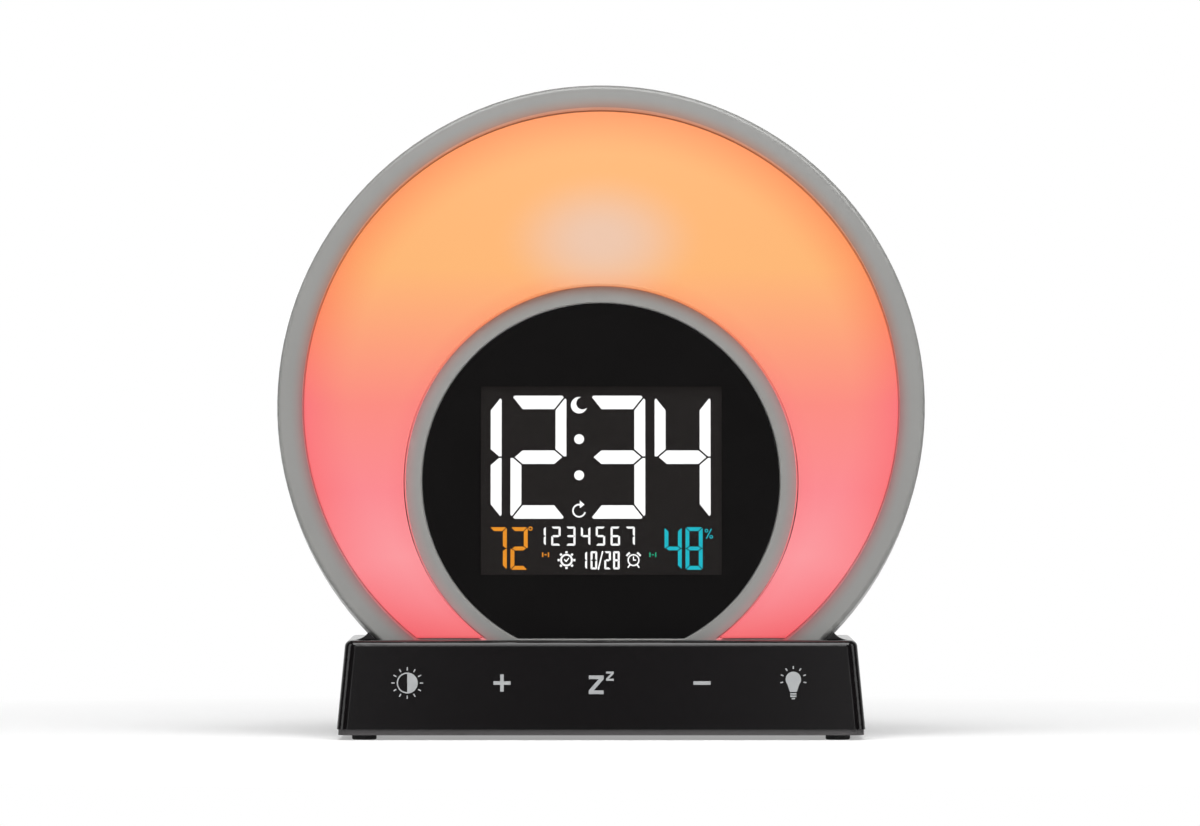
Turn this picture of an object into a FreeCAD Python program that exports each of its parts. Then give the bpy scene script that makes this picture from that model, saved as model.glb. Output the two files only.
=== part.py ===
"""A sunrise alarm clock: a round, back-leaning light disc with a round display, on a touch base.

World frame in millimetres: X to the right, Y to the back, Z up, origin on the table under the
middle of the clock. The head's pieces are drawn in a frame of their own, with its origin in the
middle of the disc's front plane, and then leaned back about X and lifted into the base.
"""
import FreeCAD, Part
import math
import os
import re
import Sketcher
from FreeCAD import Vector

# Driving dimensions: word, size in millimetres or degrees, what it measures
SIZES = [
    ("lean", 7.0, "head leans back, degrees"),
    ("head_setback", 18.0, "disc centre behind the base's lower front edge"),
    ("head_z", 92.5, "disc centre on the bezel's front plane, Z"),
    ("head_radius", 90.0, "light disc"),
    ("head_foot", -68.5, "flat cut at the foot of the head"),
    ("wall", 2.0, "moulded walls"),
    ("bezel_plate", 3.0, "front plate of the bezel"),
    ("skirt_depth", 14.0, "bezel skirt, front to back"),
    ("rim_round", 1.2, "round of the bezel's front edge"),
    ("rim_width", 7.4, "bezel rim beside the diffuser window"),
    ("lip_chamfer", 0.35, "chamfer round the windows in the bezel"),
    ("window_foot", -64.9, "diffuser windows and lens, bottom edge"),
    ("display_drop", -21.1, "display centre below the disc centre"),
    ("hub_radius", 54.6, "grey ring round the display, outer edge"),
    ("lens_radius", 49.5, "display lens"),
    ("ledge_radius", 47.5, "ledge that the lens is glued to"),
    ("lens_recess", 0.3, "lens front behind the bezel front"),
    ("lens_seat", 1.8, "depth of the lens rebate"),
    ("mask_depth", 0.15, "black film behind the lens"),
    ("mask_width", 67.8, "window in that film, width"),
    ("mask_height", 53.6, "window in that film, height"),
    ("fit_gap", 0.25, "gap round the lens and the diffuser"),
    ("play", 0.3, "clearance of screws, sockets and the LCD in their openings"),
    ("overcut", 1.0, "cutting outlines reach past the solid"),
    ("flange_reach", 1.6, "diffuser flange behind the bezel plate"),
    ("flange_depth", 1.2, "diffuser flange thickness"),
    ("hub_gap", 0.3, "flange clear of the hub ring"),
    ("rim_proud", 0.5, "diffuser in front of the bezel at its rim"),
    ("crown_rise", 2.2, "rise of the diffuser's dome over its rim"),
    ("post_radius", 2.4, "bezel posts that take the cover screws"),
    ("post_circle", 52.0, "bezel posts, radius about the display centre"),
    ("post_back", 20.0, "back end of the bezel posts"),
    ("pilot_radius", 1.1, "screw pilot holes"),
    ("pilot_depth", 9.0, "depth of the pilot holes"),
    ("lcd_width", 72.0, "LCD glass width"),
    ("lcd_height", 60.0, "LCD glass height"),
    ("lcd_front", 2.0, "LCD glass front, behind the bezel front"),
    ("lcd_depth", 2.4, "LCD glass pack thickness"),
    ("guide_depth", 3.0, "backlight guide thickness"),
    ("guide_inset", 0.5, "backlight guide's edge inside the LCD's edge"),
    ("frame_rim", 2.0, "LCD frame wall"),
    ("ribbon_width", 30.0, "LCD's flat lead"),
    ("ribbon_sheet", 0.4, "thickness of that flat lead"),
    ("ribbon_inset", 2.5, "flat lead above the LCD's lower edge"),
    ("frame_front", 3.2, "LCD frame front end"),
    ("board_front", 12.0, "main board front face"),
    ("board_depth", 1.6, "circuit board thickness"),
    ("board_radius", 48.6, "main board radius about the display centre"),
    ("board_foot", -63.0, "main board's flat bottom edge"),
    ("tray_wall", 1.2, "reflector tray wall"),
    ("tray_back", 13.8, "back of the reflector tray"),
    ("tray_gap", 0.6, "tray clear of the bezel skirt"),
    ("tray_foot_gap", 0.4, "tray clear of the bezel's foot"),
    ("light_board_rim", 3.0, "light board inside the tray, edge gap"),
    ("led_length", 3.5, "light LED package length"),
    ("led_width", 2.8, "light LED package width"),
    ("led_height", 1.0, "light LED package height"),
    ("led_start", -40.0, "first light LED, degrees above level on the right"),
    ("led_step", 13.0, "step of the light LEDs, degrees"),
    ("led_inset", 19.0, "row of light LEDs inside the head's edge"),
    ("diffuser_sheet", 1.8, "diffuser wall behind its dome's rim"),
    ("tube_radius", 3.8, "cover tubes that meet the bezel posts"),
    ("tube_seat", 24.0, "seat of the cover screws' heads in those tubes"),
    ("key_board_front", 25.6, "key board front face"),
    ("key_pilot_depth", 7.2, "pilot holes of the key board's screws"),
    ("key_board_width", 76.0, "key board length"),
    ("key_board_height", 16.0, "key board height"),
    ("key_post_x", 33.0, "key board posts from the middle"),
    ("well_wall", 1.6, "battery well wall"),
    ("well_front", 28.0, "battery well floor, front face"),
    ("door_round", 0.72, "round of the battery door's hinged edge"),
    ("vent_inset", 38.0, "vent slots over the climate sensor, inside the head's edge"),
    ("vent_width", 10.0, "vent slot width"),
    ("vent_height", 1.2, "vent slot height"),
    ("vent_pitch", 2.6, "step of the vent slots"),
    ("sensor_width", 12.0, "climate sensor board width"),
    ("sensor_height", 14.0, "climate sensor board height"),
    ("sensor_back", 4.0, "climate sensor board in front of the cover's inside"),
    ("vent_up", -30.0, "vent slots over the climate sensor, height in the head"),
    ("lead_hole", 3.4, "hole for the lead between base and head"),
    ("lead_radius", 1.8, "lead between base and head"),
    ("lead_down", 8.0, "that lead's end below the head's foot"),
    ("lead_length", 22.0, "that lead's length"),
    ("plug_up", 12.0, "plug of that lead above the head's foot"),
    ("plug_width", 10.0, "plug width"),
    ("plug_depth", 8.0, "plug front to back"),
    ("plug_height", 6.0, "plug height"),
    ("neck_hole", 12.0, "length of the holes between base and head"),
    ("lead_back", 18.6, "that lead behind the disc's front plane"),
    ("neck_x", 36.0, "neck screws from the middle, X"),
    ("neck_back", 26.0, "neck screws behind the disc's front plane"),
    ("neck_boss", 4.0, "bosses over the neck screws"),
    ("cover_back", 38.0, "flat back of the rear cover"),
    ("cover_step", 1.2, "rear cover set in from the bezel skirt"),
    ("speaker_up", 34.0, "speaker centre above the disc centre"),
    ("speaker_radius", 20.0, "speaker frame"),
    ("speaker_flange", 1.2, "speaker frame sheet flange"),
    ("cone_radius", 17.0, "speaker cone"),
    ("magnet_radius", 9.0, "speaker magnet"),
    ("magnet_depth", 5.0, "speaker magnet thickness"),
    ("basket_depth", 9.0, "speaker basket behind the grille wall"),
    ("basket_wall", 1.0, "speaker basket wall and floor"),
    ("cone_gap", 1.4, "speaker cone's edge in front of the grille wall"),
    ("cone_depth", 4.8, "fall of the cone from its edge to its middle"),
    ("cone_sheet", 0.6, "speaker cone thickness"),
    ("dome_radius", 5.6, "dust cap on the cone"),
    ("dome_rise", 1.2, "rise of the dust cap"),
    ("grille_hole", 1.0, "radius of a grille hole"),
    ("grille_pitch", 3.6, "step of the grille holes"),
    ("key_row", 0.0, "row of rear keys, height in the head"),
    ("key_pitch", 16.0, "step of the rear keys"),
    ("key_radius", 4.0, "rear key cap"),
    ("key_gap", 0.3, "gap round a rear key"),
    ("key_proud", 1.2, "rear key stands out of the cover"),
    ("key_travel", 0.6, "rear key travel"),
    ("key_flange", 1.2, "collar that keeps a key in"),
    ("key_collar", 0.8, "thickness of that collar"),
    ("key_rest", 0.2, "gap behind that collar and below the stem"),
    ("stem_sunk", 2.0, "stem inside its switch"),
    ("switch_size", 6.0, "tact switch body, square"),
    ("switch_depth", 3.4, "tact switch body height"),
    ("stem_radius", 1.6, "tact switch stem"),
    ("stem_fit", 0.1, "stem in its hole"),
    ("door_width", 34.0, "battery door width"),
    ("door_height", 26.0, "battery door height"),
    ("door_up", -34.0, "battery door centre, height in the head"),
    ("door_depth", 1.6, "battery door thickness"),
    ("door_gap", 0.4, "gap round the battery door"),
    ("nail_width", 10.0, "finger notch in the battery door, width"),
    ("nail_height", 3.0, "finger notch, height"),
    ("nail_inset", 2.5, "finger notch below the door's upper edge"),
    ("contact_gap", 1.2, "side contacts' middle beside the button cell"),
    ("contact_sheet", 0.6, "side contacts' sheet"),
    ("contact_side", 6.0, "side contacts, height and depth"),
    ("contact_low", 3.0, "side contacts' foot below the cell's middle"),
    ("spring_depth", 1.0, "spring contact under the cell"),
    ("spring_width", 4.0, "spring contact width"),
    ("spring_length", 16.0, "spring contact length"),
    ("cell_radius", 10.0, "button cell radius"),
    ("cell_depth", 3.2, "button cell thickness"),
    ("base_shoulder", 0.32, "flat base top outside each flare"),
    ("base_depth", 68.0, "base depth at the bottom"),
    ("base_top", 27.5, "base top above the table"),
    ("base_draft", 5.4, "draft of the base walls, degrees"),
    ("base_corner", 3.0, "round of the base's upright corners"),
    ("base_round", 1.8, "round of the base's top edge"),
    ("foot_height", 1.4, "rubber foot under the base"),
    ("foot_radius", 3.4, "rubber foot"),
    ("foot_inset", 7.5, "rubber foot inside the base's lower edge"),
    ("plate_band", 1.6, "base plate edge that shows below the shell"),
    ("saddle_gap", 0.4, "gap between head and base"),
    ("collar_rise", 2.3, "flare of the base up against the disc"),
    ("collar_run", 4.3, "flare, from the flat base top to its tip"),
    ("collar_length", 15.0, "flare, front to back"),
    ("plate_inset", 0.4, "base plate edge inside the shell's edge"),
    ("plate_post", 3.0, "shell posts that take the plate's screws"),
    ("plate_post_gap", 0.3, "spigot clear of those posts"),
    ("plate_floor", 0.6, "plate left under the screws' heads"),
    ("power_post_x", 5.0, "power board posts inside its ends"),
    ("power_post_y", 4.0, "power board posts inside its long edges"),
    ("plate_spigot", 0.8, "base plate step inside the shell"),
    ("plate_screw_gap", 8.001, "base plate screws outside the power board's ends"),
    ("plate_screw_setback", 13.2, "base plate screws inside the base's front and rear"),
    ("touch_up", 15.8, "touch spots above the table"),
    ("touch_end_gap", 11.0, "touch board's ends inside the base's ends"),
    ("touch_end_inset", 8.0, "outer touch spots inside the touch board's ends"),
    ("touch_height", 12.0, "touch board height"),
    ("touch_low", 1.3, "touch board middle below the touch spots"),
    ("touch_standoff", 4.0, "touch board behind the front wall"),
    ("touch_rest", 0.2, "touch spring pads behind the front wall"),
    ("pad_radius", 4.5, "touch spring pad"),
    ("power_width", 92.0, "power board length"),
    ("power_depth", 38.0, "power board front to back"),
    ("power_up", 8.0, "power board underside"),
    ("power_setback", 26.0, "power board middle inside the base's rear"),
    ("jack_x", -30.0, "power jack, X"),
    ("jack_up", 14.6, "power jack axis above the table"),
    ("jack_width", 9.0, "power jack body width"),
    ("jack_height", 10.0, "power jack body height"),
    ("jack_length", 12.0, "power jack body length"),
    ("jack_nose", 4.0, "power jack nose radius"),
    ("jack_bore", 2.9, "power jack bore radius"),
    ("jack_pin", 1.0, "power jack centre pin radius"),
    ("jack_floor", 3.0, "power jack's closed end"),
    ("jack_set_in", 0.8, "power jack body inside the rear wall"),
    ("can_radius", 3.2, "capacitor can radius"),
    ("can_height", 6.5, "capacitor can height"),
    ("can_gap", 1.862, "capacitor cans behind the lead that comes down from the head"),
    ("usb_x", 28.0, "USB socket, X"),
    ("usb_up", 12.6, "USB socket middle above the table"),
    ("usb_width", 13.2, "USB socket shell width"),
    ("usb_height", 5.8, "USB socket shell height"),
    ("usb_length", 14.0, "USB socket shell length"),
    ("usb_sheet", 0.3, "USB socket shell sheet"),
    ("usb_set_in", 0.5, "USB socket's mouth inside the base's rear"),
    ("tongue_width", 11.1, "USB tongue width"),
    ("tongue_depth", 1.9, "USB tongue thickness"),
    ("tongue_rise", 2.4, "USB tongue above the shell's floor"),
    ("tongue_short", 4.0, "USB tongue shorter than the shell"),
    ("screw_head", 2.2, "small screw head radius"),
    ("screw_shank", 1.0, "small screw shank radius"),
    ("screw_cap", 1.4, "small screw head height"),
    ("screw_length", 8.0, "small screw shank length"),
]

# Sizes that follow from the driving ones
FOLLOWING = {
    "head_y": "(head_setback-base_depth/2)",
    "window_radius": "(head_radius-rim_width)",
    "led_circle": "(head_radius-led_inset)",
    "vent_x": "(vent_inset-head_radius)",
    "collar_tip": "(sqrt((head_radius+saddle_gap)^2-((head_z-base_top-collar_rise)/cos(lean))^2)"
                  "-saddle_gap)",
    "collar_reach": "(collar_tip+collar_run)",
    "collar_front": "(head_y-(head_z-base_top-collar_rise)*tan(lean)+fit_gap)",
    "shell_foot": "(foot_height+plate_band)",
    "base_width": "(2*(collar_reach+base_round+base_shoulder+(base_top-shell_foot)*tan(base_draft)))",
    "foot_x": "(base_width/2-foot_inset)",
    "foot_y": "(base_depth/2-foot_inset)",
    "plate_screw_x": "(power_width/2+plate_screw_gap)",
    "plate_screw_y": "(base_depth/2-plate_screw_setback)",
    "touch_width": "(base_width-2*touch_end_gap)",
    "touch_pitch": "((touch_width-2*touch_end_inset)/4)",
    "power_y": "(base_depth/2-power_setback)",
    "can_y": "(head_y+lead_back*cos(lean)+(head_foot-lead_down)*sin(lean)+lead_radius+can_radius"
             "+can_gap)",
}

doc = FreeCAD.newDocument("sunrise_alarm_clock")
sheet = doc.addObject("Spreadsheet::Sheet", "sizes")
for row, (word, size, meaning) in enumerate(SIZES, start=1):
    sheet.set(f"A{row}", str(size))
    sheet.setAlias(f"A{row}", word)
    sheet.set(f"B{row}", meaning)
doc.recompute()

NEAR = 0.01
FULL_TURN = 360
LED_COUNT = 21
TOUCH_SPOTS = 5
KEY_NAMES = ("alarm_key", "clock_key", "sound_key", "display_key")
GRILLE_RINGS = 4
HOLES_IN_FIRST_RING = 6
VENT_ROWS = 4
SLOPE = math.sqrt(0.5)

# Chips on the main board: middle X, foot above the display's centre, width, thickness, height
CHIPS = [
    ("-14", "8", "12", "1.6", "12"),
    ("10", "12", "8", "1.2", "6"),
    ("12", "-6", "6", "1.4", "5"),
    ("-28", "-10", "3.2", "2.4", "8"),
    ("28", "-2", "5", "3.0", "5"),
    ("-4", "-18", "7", "1.0", "7"),
]

# Sensor and its two plugs: foot above the vents' middle, width, thickness, height
SENSOR_PARTS = [("-1.5", "3", "1.1", "3"), ("-6.5", "8", "2.4", "3"), ("3.5", "8", "2.4", "3")]

# Capacitor cans on the power board: X
CAN_PLACES = ["-10", "0"]

# Other parts on it: X, near edge from the board's middle, width, depth, height
POWER_PARTS = [
    ("14", "-12", "7", "7", "4"),
    ("-20", "-10", "6", "5", "1.6"),
    ("-34", "-12", "8", "6", "3"),
    ("34", "-12", "5", "4", "1.5"),
    ("4", "5", "9", "6", "5"),
]

WORDS = {word for word, size, meaning in SIZES}
HEAD_PLACE = "placement(vector(0; head_y; head_z); rotation(vector(1; 0; 0); -lean))"
# Sketch depth along Y is against the normal of the XZ plane
DEPTH_SIGN = {"XY_Plane": "", "XZ_Plane": "-", "YZ_Plane": ""}
nodes = []


def sized(expression):
    """The expression with each word of the sheet written as a reference to its cell."""
    def spell(found):
        word = found[0]
        if word in FOLLOWING:
            return sized(FOLLOWING[word])
        return f"sizes.{word}" if word in WORDS else word
    return re.sub(r"[a-z_]+", spell, expression)


def value(expression):
    """What an expression comes to with the sheet's present sizes."""
    return float(sheet.evalExpression(sized(expression)))


def bind(thing, prop, expression):
    """Drive one property from the sheet."""
    thing.setExpression(prop, sized(expression))


def keep(thing, label, in_head=False):
    """Name a finished piece, put it in place and list it as a node."""
    thing.Label = label
    if in_head:
        bind(thing, "Placement", HEAD_PLACE)
    nodes.append(thing)
    return thing


def new_body(name):
    return doc.addObject("PartDesign::Body", name)


def new_sketch(body, plane="XZ_Plane", depth="0", lift="0"):
    """A sketch on one of the body's own origin planes, set off along that plane's axis."""
    sketch = body.newObject("Sketcher::SketchObject", f"{body.Name}_sketch")
    origin = [feature for feature in body.Origin.OriginFeatures if feature.Role == plane][0]
    sketch.AttachmentSupport = [(origin, "")]
    sketch.MapMode = "FlatFace"
    bind(sketch, "AttachmentOffset.Base.z", f"{DEPTH_SIGN[plane]}({depth})")
    bind(sketch, "AttachmentOffset.Base.y", lift)
    return sketch


def fix(sketch, kind, where, expression):
    """A dimension of the sketch, driven from the sheet."""
    index = sketch.addConstraint(Sketcher.Constraint(kind, *where, value(expression)))
    name = f"size_{index}"
    sketch.renameConstraint(index, name)
    bind(sketch, f"Constraints.{name}", expression)


def pin_point(sketch, edge, end, across, along):
    """Hold one point of an edge at a place measured from the sketch's origin."""
    fix(sketch, "DistanceX", (-1, 1, edge, end), across)
    fix(sketch, "DistanceY", (-1, 1, edge, end), along)


def draw_circle(sketch, across, along, radius):
    centre = Vector(value(across), value(along), 0)
    edge = sketch.addGeometry(Part.Circle(centre, Vector(0, 0, 1), value(radius)), False)
    pin_point(sketch, edge, 3, across, along)
    fix(sketch, "Radius", (edge,), radius)


def draw_polygon(sketch, corners):
    """A closed outline with straight sides through corners given as pairs of expressions."""
    points = [Vector(value(across), value(along), 0) for across, along in corners]
    edges = [sketch.addGeometry(Part.LineSegment(start, end), False)
             for start, end in zip(points, points[1:] + points[:1])]
    for edge, after in zip(edges, edges[1:] + edges[:1]):
        sketch.addConstraint(Sketcher.Constraint("Coincident", edge, 2, after, 1))
    for edge, (across, along) in zip(edges, corners):
        pin_point(sketch, edge, 1, across, along)


def draw_box(sketch, across, along, width, height):
    """A rectangle about its middle."""
    left, right = f"({across})-({width})/2", f"({across})+({width})/2"
    low, high = f"({along})-({height})/2", f"({along})+({height})/2"
    draw_polygon(sketch, [(left, low), (right, low), (right, high), (left, high)])


def draw_arc(sketch, across, along, radius, chord):
    """The part above a level chord of a circle, from its right end over the top to its left."""
    reach = value(radius)
    start = math.asin((value(chord) - value(along)) / reach)
    centre = Vector(value(across), value(along), 0)
    circle = Part.Circle(centre, Vector(0, 0, 1), reach)
    edge = sketch.addGeometry(Part.ArcOfCircle(circle, start, math.pi - start), False)
    pin_point(sketch, edge, 3, across, along)
    fix(sketch, "Radius", (edge,), radius)
    return edge


def join_level(sketch, first, first_end, second, second_end, chord):
    """A level line at the chord's height between the ends of two arcs."""
    start = sketch.getPoint(first, first_end)
    end = sketch.getPoint(second, second_end)
    edge = sketch.addGeometry(Part.LineSegment(start, end), False)
    sketch.addConstraint(Sketcher.Constraint("Coincident", first, first_end, edge, 1))
    sketch.addConstraint(Sketcher.Constraint("Coincident", edge, 2, second, second_end))
    sketch.addConstraint(Sketcher.Constraint("Horizontal", edge))
    fix(sketch, "DistanceY", (-1, 1, edge, 1), chord)


def draw_cut_disc(sketch, along, radius, chord):
    """A disc with its foot cut off level."""
    arc = draw_arc(sketch, "0", along, radius, chord)
    join_level(sketch, arc, 2, arc, 1, chord)


def draw_horseshoe(sketch, outer, inner, chord):
    """The disc round the display, open at the foot, where two level feet close it."""
    rim = draw_arc(sketch, "0", "0", outer, chord)
    hub = draw_arc(sketch, "0", "display_drop", inner, chord)
    join_level(sketch, rim, 2, hub, 2, chord)
    join_level(sketch, hub, 1, rim, 1, chord)


def add_feature(body, kind, sketch, length, to_back):
    """A feature of the body from a sketch, bound to its length."""
    feature = body.newObject(f"PartDesign::{kind}", f"{body.Name}_{kind.lower()}")
    feature.Profile = sketch
    bind(feature, "Length", length)
    feature.Reversed = to_back
    sketch.Visibility = False
    return feature


def pad(body, sketch, length):
    """Material from the sketch towards the back, or upwards from a level plane."""
    level = sketch.AttachmentSupport[0][0].Role == "XY_Plane"
    return add_feature(body, "Pad", sketch, length, to_back=not level)


def pocket(body, sketch, length):
    """A cut from the sketch towards the back, or upwards from a level plane."""
    level = sketch.AttachmentSupport[0][0].Role == "XY_Plane"
    return add_feature(body, "Pocket", sketch, length, to_back=level)


def turn_round(body, kind, profile):
    """A solid or a cut from a profile turned all the way round the sketch's level axis."""
    feature = body.newObject(f"PartDesign::{kind}", f"{body.Name}_{kind.lower()}")
    feature.Profile = profile
    feature.ReferenceAxis = (profile, ["H_Axis"])
    feature.Angle = FULL_TURN
    profile.Visibility = False
    return feature


def edges_where(feature, test):
    """Names of the feature's edges whose middle and length pass a test."""
    return [f"Edge{number}" for number, edge in enumerate(feature.Shape.Edges, start=1)
            if test(edge, edge.valueAt((edge.FirstParameter + edge.LastParameter) / 2))]


def dress(body, kind, base, edges, prop, expression):
    """A fillet or chamfer of the body along some edges of its last feature."""
    feature = body.newObject(f"PartDesign::{kind}", f"{body.Name}_{kind.lower()}")
    feature.Base = (base, edges)
    bind(feature, prop, expression)
    return feature


def centred(place, count, pitch):
    """Where one of a row of equal steps falls about the row's middle."""
    return f"({place}-({count}-1)/2)*{pitch}"


def post_places():
    """The four posts round the display, as pairs of expressions."""
    reach = f"post_circle*{SLOPE}"
    return [(f"{side}{reach}", f"display_drop{lift}{reach}") for side in ("-", "") for lift in "-+"]


def make_front_bezel():
    """One moulding: rim ring, ring round the display, strip at the foot, skirt and four posts."""
    body = new_body("bezel")
    outline = new_sketch(body)
    draw_cut_disc(outline, "0", "head_radius", "head_foot")
    blank = pad(body, outline, "skirt_depth")
    doc.recompute()
    front = edges_where(blank, lambda edge, middle: abs(middle.y) < NEAR)
    dress(body, "Fillet", blank, front, "Radius", "rim_round")
    inside = new_sketch(body, depth="bezel_plate")
    draw_cut_disc(inside, "0", "head_radius-wall", "head_foot+wall")
    pocket(body, inside, "skirt_depth")
    window = new_sketch(body)
    draw_horseshoe(window, "window_radius", "hub_radius", "window_foot")
    pocket(body, window, "bezel_plate")
    rebate = new_sketch(body)
    draw_cut_disc(rebate, "display_drop", "lens_radius+fit_gap", "window_foot-fit_gap")
    pocket(body, rebate, "lens_seat")
    opening = new_sketch(body)
    draw_cut_disc(opening, "display_drop", "ledge_radius", "window_foot+wall")
    pocket(body, opening, "bezel_plate")
    posts = new_sketch(body, depth="bezel_plate")
    pilots = new_sketch(body, depth="post_back-pilot_depth")
    for across, along in post_places():
        draw_circle(posts, across, along, "post_radius")
        draw_circle(pilots, across, along, "pilot_radius")
    pad(body, posts, "post_back-bezel_plate")
    drilled = pocket(body, pilots, "pilot_depth")
    doc.recompute()
    reach, foot = value("window_radius+rim_width/2"), value("head_foot+wall")
    lips = edges_where(drilled, lambda edge, middle: abs(middle.y) < NEAR and middle.z > foot
                       and math.hypot(middle.x, middle.z) < reach)
    dress(body, "Chamfer", drilled, lips, "Size", "lip_chamfer")
    keep(body, "front_bezel", in_head=True)


def make_light_diffuser():
    """Milky window: a flange behind the bezel and a domed face that fills the horseshoe."""
    body = new_body("diffuser")
    face = new_sketch(body, depth="-rim_proud-crown_rise")
    draw_horseshoe(face, "window_radius-fit_gap", "hub_radius+fit_gap", "window_foot+fit_gap")
    pad(body, face, "rim_proud+crown_rise+bezel_plate+flange_depth")
    flange = new_sketch(body, depth="bezel_plate")
    draw_horseshoe(flange, "window_radius+flange_reach", "hub_radius+hub_gap",
                   "window_foot-flange_reach")
    pad(body, flange, "flange_depth")
    hollow = new_sketch(body, depth="diffuser_sheet-rim_proud")
    draw_horseshoe(hollow, "window_radius-diffuser_sheet", "hub_radius+diffuser_sheet",
                   "window_foot+diffuser_sheet")
    pocket(body, hollow, "bezel_plate+flange_depth")
    over = new_sketch(body, plane="YZ_Plane")
    rim, crown = value("window_radius"), value("crown_rise")
    ball = (rim ** 2 + crown ** 2) / (2 * crown)
    proud = value("rim_proud")
    centre = Vector(ball - proud - crown, 0, 0)
    turn = math.asin((rim + value("overcut")) / ball)
    arc = over.addGeometry(Part.ArcOfCircle(Part.Circle(centre, Vector(0, 0, 1), ball),
                                            math.pi - turn, math.pi), False)
    fix(over, "Radius", (arc,), "(window_radius^2+crown_rise^2)/(2*crown_rise)")
    pin_point(over, arc, 2, "-rim_proud-crown_rise", "0")
    over.addConstraint(Sketcher.Constraint("PointOnObject", arc, 3, -1))
    edge_point = over.getPoint(arc, 1)
    outside = Vector(-proud - crown - value("overcut"), edge_point.y, 0)
    corner = Vector(outside.x, 0, 0)
    for start, end in ((edge_point, outside), (outside, corner), (corner, over.getPoint(arc, 2))):
        over.addGeometry(Part.LineSegment(start, end), False)
    over.addConstraint(Sketcher.Constraint("Coincident", arc, 1, arc + 1, 1))
    over.addConstraint(Sketcher.Constraint("Coincident", arc + 1, 2, arc + 2, 1))
    over.addConstraint(Sketcher.Constraint("Coincident", arc + 2, 2, arc + 3, 1))
    over.addConstraint(Sketcher.Constraint("Coincident", arc + 3, 2, arc, 2))
    over.addConstraint(Sketcher.Constraint("Horizontal", arc + 1))
    over.addConstraint(Sketcher.Constraint("Vertical", arc + 2))
    pin_point(over, arc + 2, 1, "-rim_proud-crown_rise-overcut", "window_radius+overcut")
    turn_round(body, "Groove", over)
    keep(body, "light_diffuser", in_head=True)


def make_display_lens():
    """Smoked window glued into the bezel's rebate."""
    body = new_body("lens")
    face = new_sketch(body, depth="lens_recess")
    draw_cut_disc(face, "display_drop", "lens_radius", "window_foot")
    pad(body, face, "lens_seat-lens_recess")
    keep(body, "display_lens", in_head=True)


def make_display_mask():
    """Black film on the back of the lens, with a window for the LCD."""
    body = new_body("mask")
    film = new_sketch(body, depth="lens_seat")
    draw_cut_disc(film, "display_drop", "ledge_radius-fit_gap", "window_foot+wall+fit_gap")
    pad(body, film, "mask_depth")
    window = new_sketch(body, depth="lens_seat")
    draw_box(window, "0", "display_drop", "mask_width", "mask_height")
    pocket(body, window, "mask_depth")
    keep(body, "display_mask", in_head=True)


def make_box_piece(label, width, height, front, depth, along="display_drop", across="0"):
    """A plain flat piece of the head, square to the disc's axis."""
    body = new_body(label)
    face = new_sketch(body, depth=front)
    draw_box(face, across, along, width, height)
    pad(body, face, depth)
    return keep(body, label, in_head=True)


def make_display_stack():
    """LCD, its light guide, the frame that holds both to the main board, and its flat lead."""
    make_box_piece("lcd_glass", "lcd_width", "lcd_height", "lcd_front", "lcd_depth")
    make_box_piece("backlight_guide", "lcd_width-2*guide_inset", "lcd_height-2*guide_inset",
                   "lcd_front+lcd_depth", "guide_depth")
    body = new_body("lcd_frame")
    around = new_sketch(body, depth="frame_front")
    draw_box(around, "0", "display_drop", "lcd_width+2*frame_rim", "lcd_height+2*frame_rim")
    pad(body, around, "board_front-frame_front")
    inside = new_sketch(body, depth="frame_front")
    draw_box(inside, "0", "display_drop", "lcd_width+play", "lcd_height+play")
    pocket(body, inside, "lcd_front+lcd_depth+guide_depth-frame_front")
    hollow = new_sketch(body, depth="frame_front")
    draw_box(hollow, "0", "display_drop", "lcd_width-2*frame_rim", "lcd_height-2*frame_rim")
    pocket(body, hollow, "board_front-frame_front")
    keep(body, "lcd_frame", in_head=True)
    make_box_piece("lcd_lead", "ribbon_width", "ribbon_sheet", "lcd_front+lcd_depth+guide_depth",
                   "board_front-lcd_front-lcd_depth-guide_depth",
                   "display_drop-lcd_height/2+ribbon_inset")


def make_light_engine():
    """White tray, horseshoe board and warm LEDs behind the diffuser."""
    body = new_body("tray")
    outline = new_sketch(body, depth="bezel_plate+flange_depth")
    draw_horseshoe(outline, "head_radius-wall-tray_gap", "hub_radius+hub_gap",
                   "head_foot+wall+tray_foot_gap")
    pad(body, outline, "tray_back-bezel_plate-flange_depth")
    inside = new_sketch(body, depth="bezel_plate+flange_depth")
    draw_horseshoe(inside, "head_radius-wall-tray_gap-tray_wall", "hub_radius+hub_gap+tray_wall",
                   "head_foot+wall+tray_foot_gap+tray_wall")
    pocket(body, inside, "tray_back-bezel_plate-flange_depth-tray_wall")
    keep(body, "light_reflector", in_head=True)

    board = new_body("light_board")
    shape = new_sketch(board, depth="tray_back-tray_wall-board_depth")
    draw_horseshoe(shape, "head_radius-wall-light_board_rim", "hub_radius+light_board_rim",
                   "head_foot+wall+light_board_rim")
    pad(board, shape, "board_depth")
    keep(board, "light_board", in_head=True)

    leds = []
    for place in range(LED_COUNT):
        angle = f"(led_start+{place}*led_step)"
        led = doc.addObject("Part::Box", "light_led")
        bind(led, "Length", "led_length")
        bind(led, "Width", "led_height")
        bind(led, "Height", "led_width")
        bind(led, "Placement.Base.x", f"led_circle*cos({angle})-led_length/2")
        bind(led, "Placement.Base.y", "tray_back-tray_wall-board_depth-led_height")
        bind(led, "Placement.Base.z", f"led_circle*sin({angle})-led_width/2")
        leds.append(led)
    gather(leds, "light_leds", in_head=True)


def gather(members, label, in_head=False):
    """Separate small solids of one kind kept as one node."""
    group = doc.addObject("Part::Compound", label)
    group.Links = members
    return keep(group, label, in_head)


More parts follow.
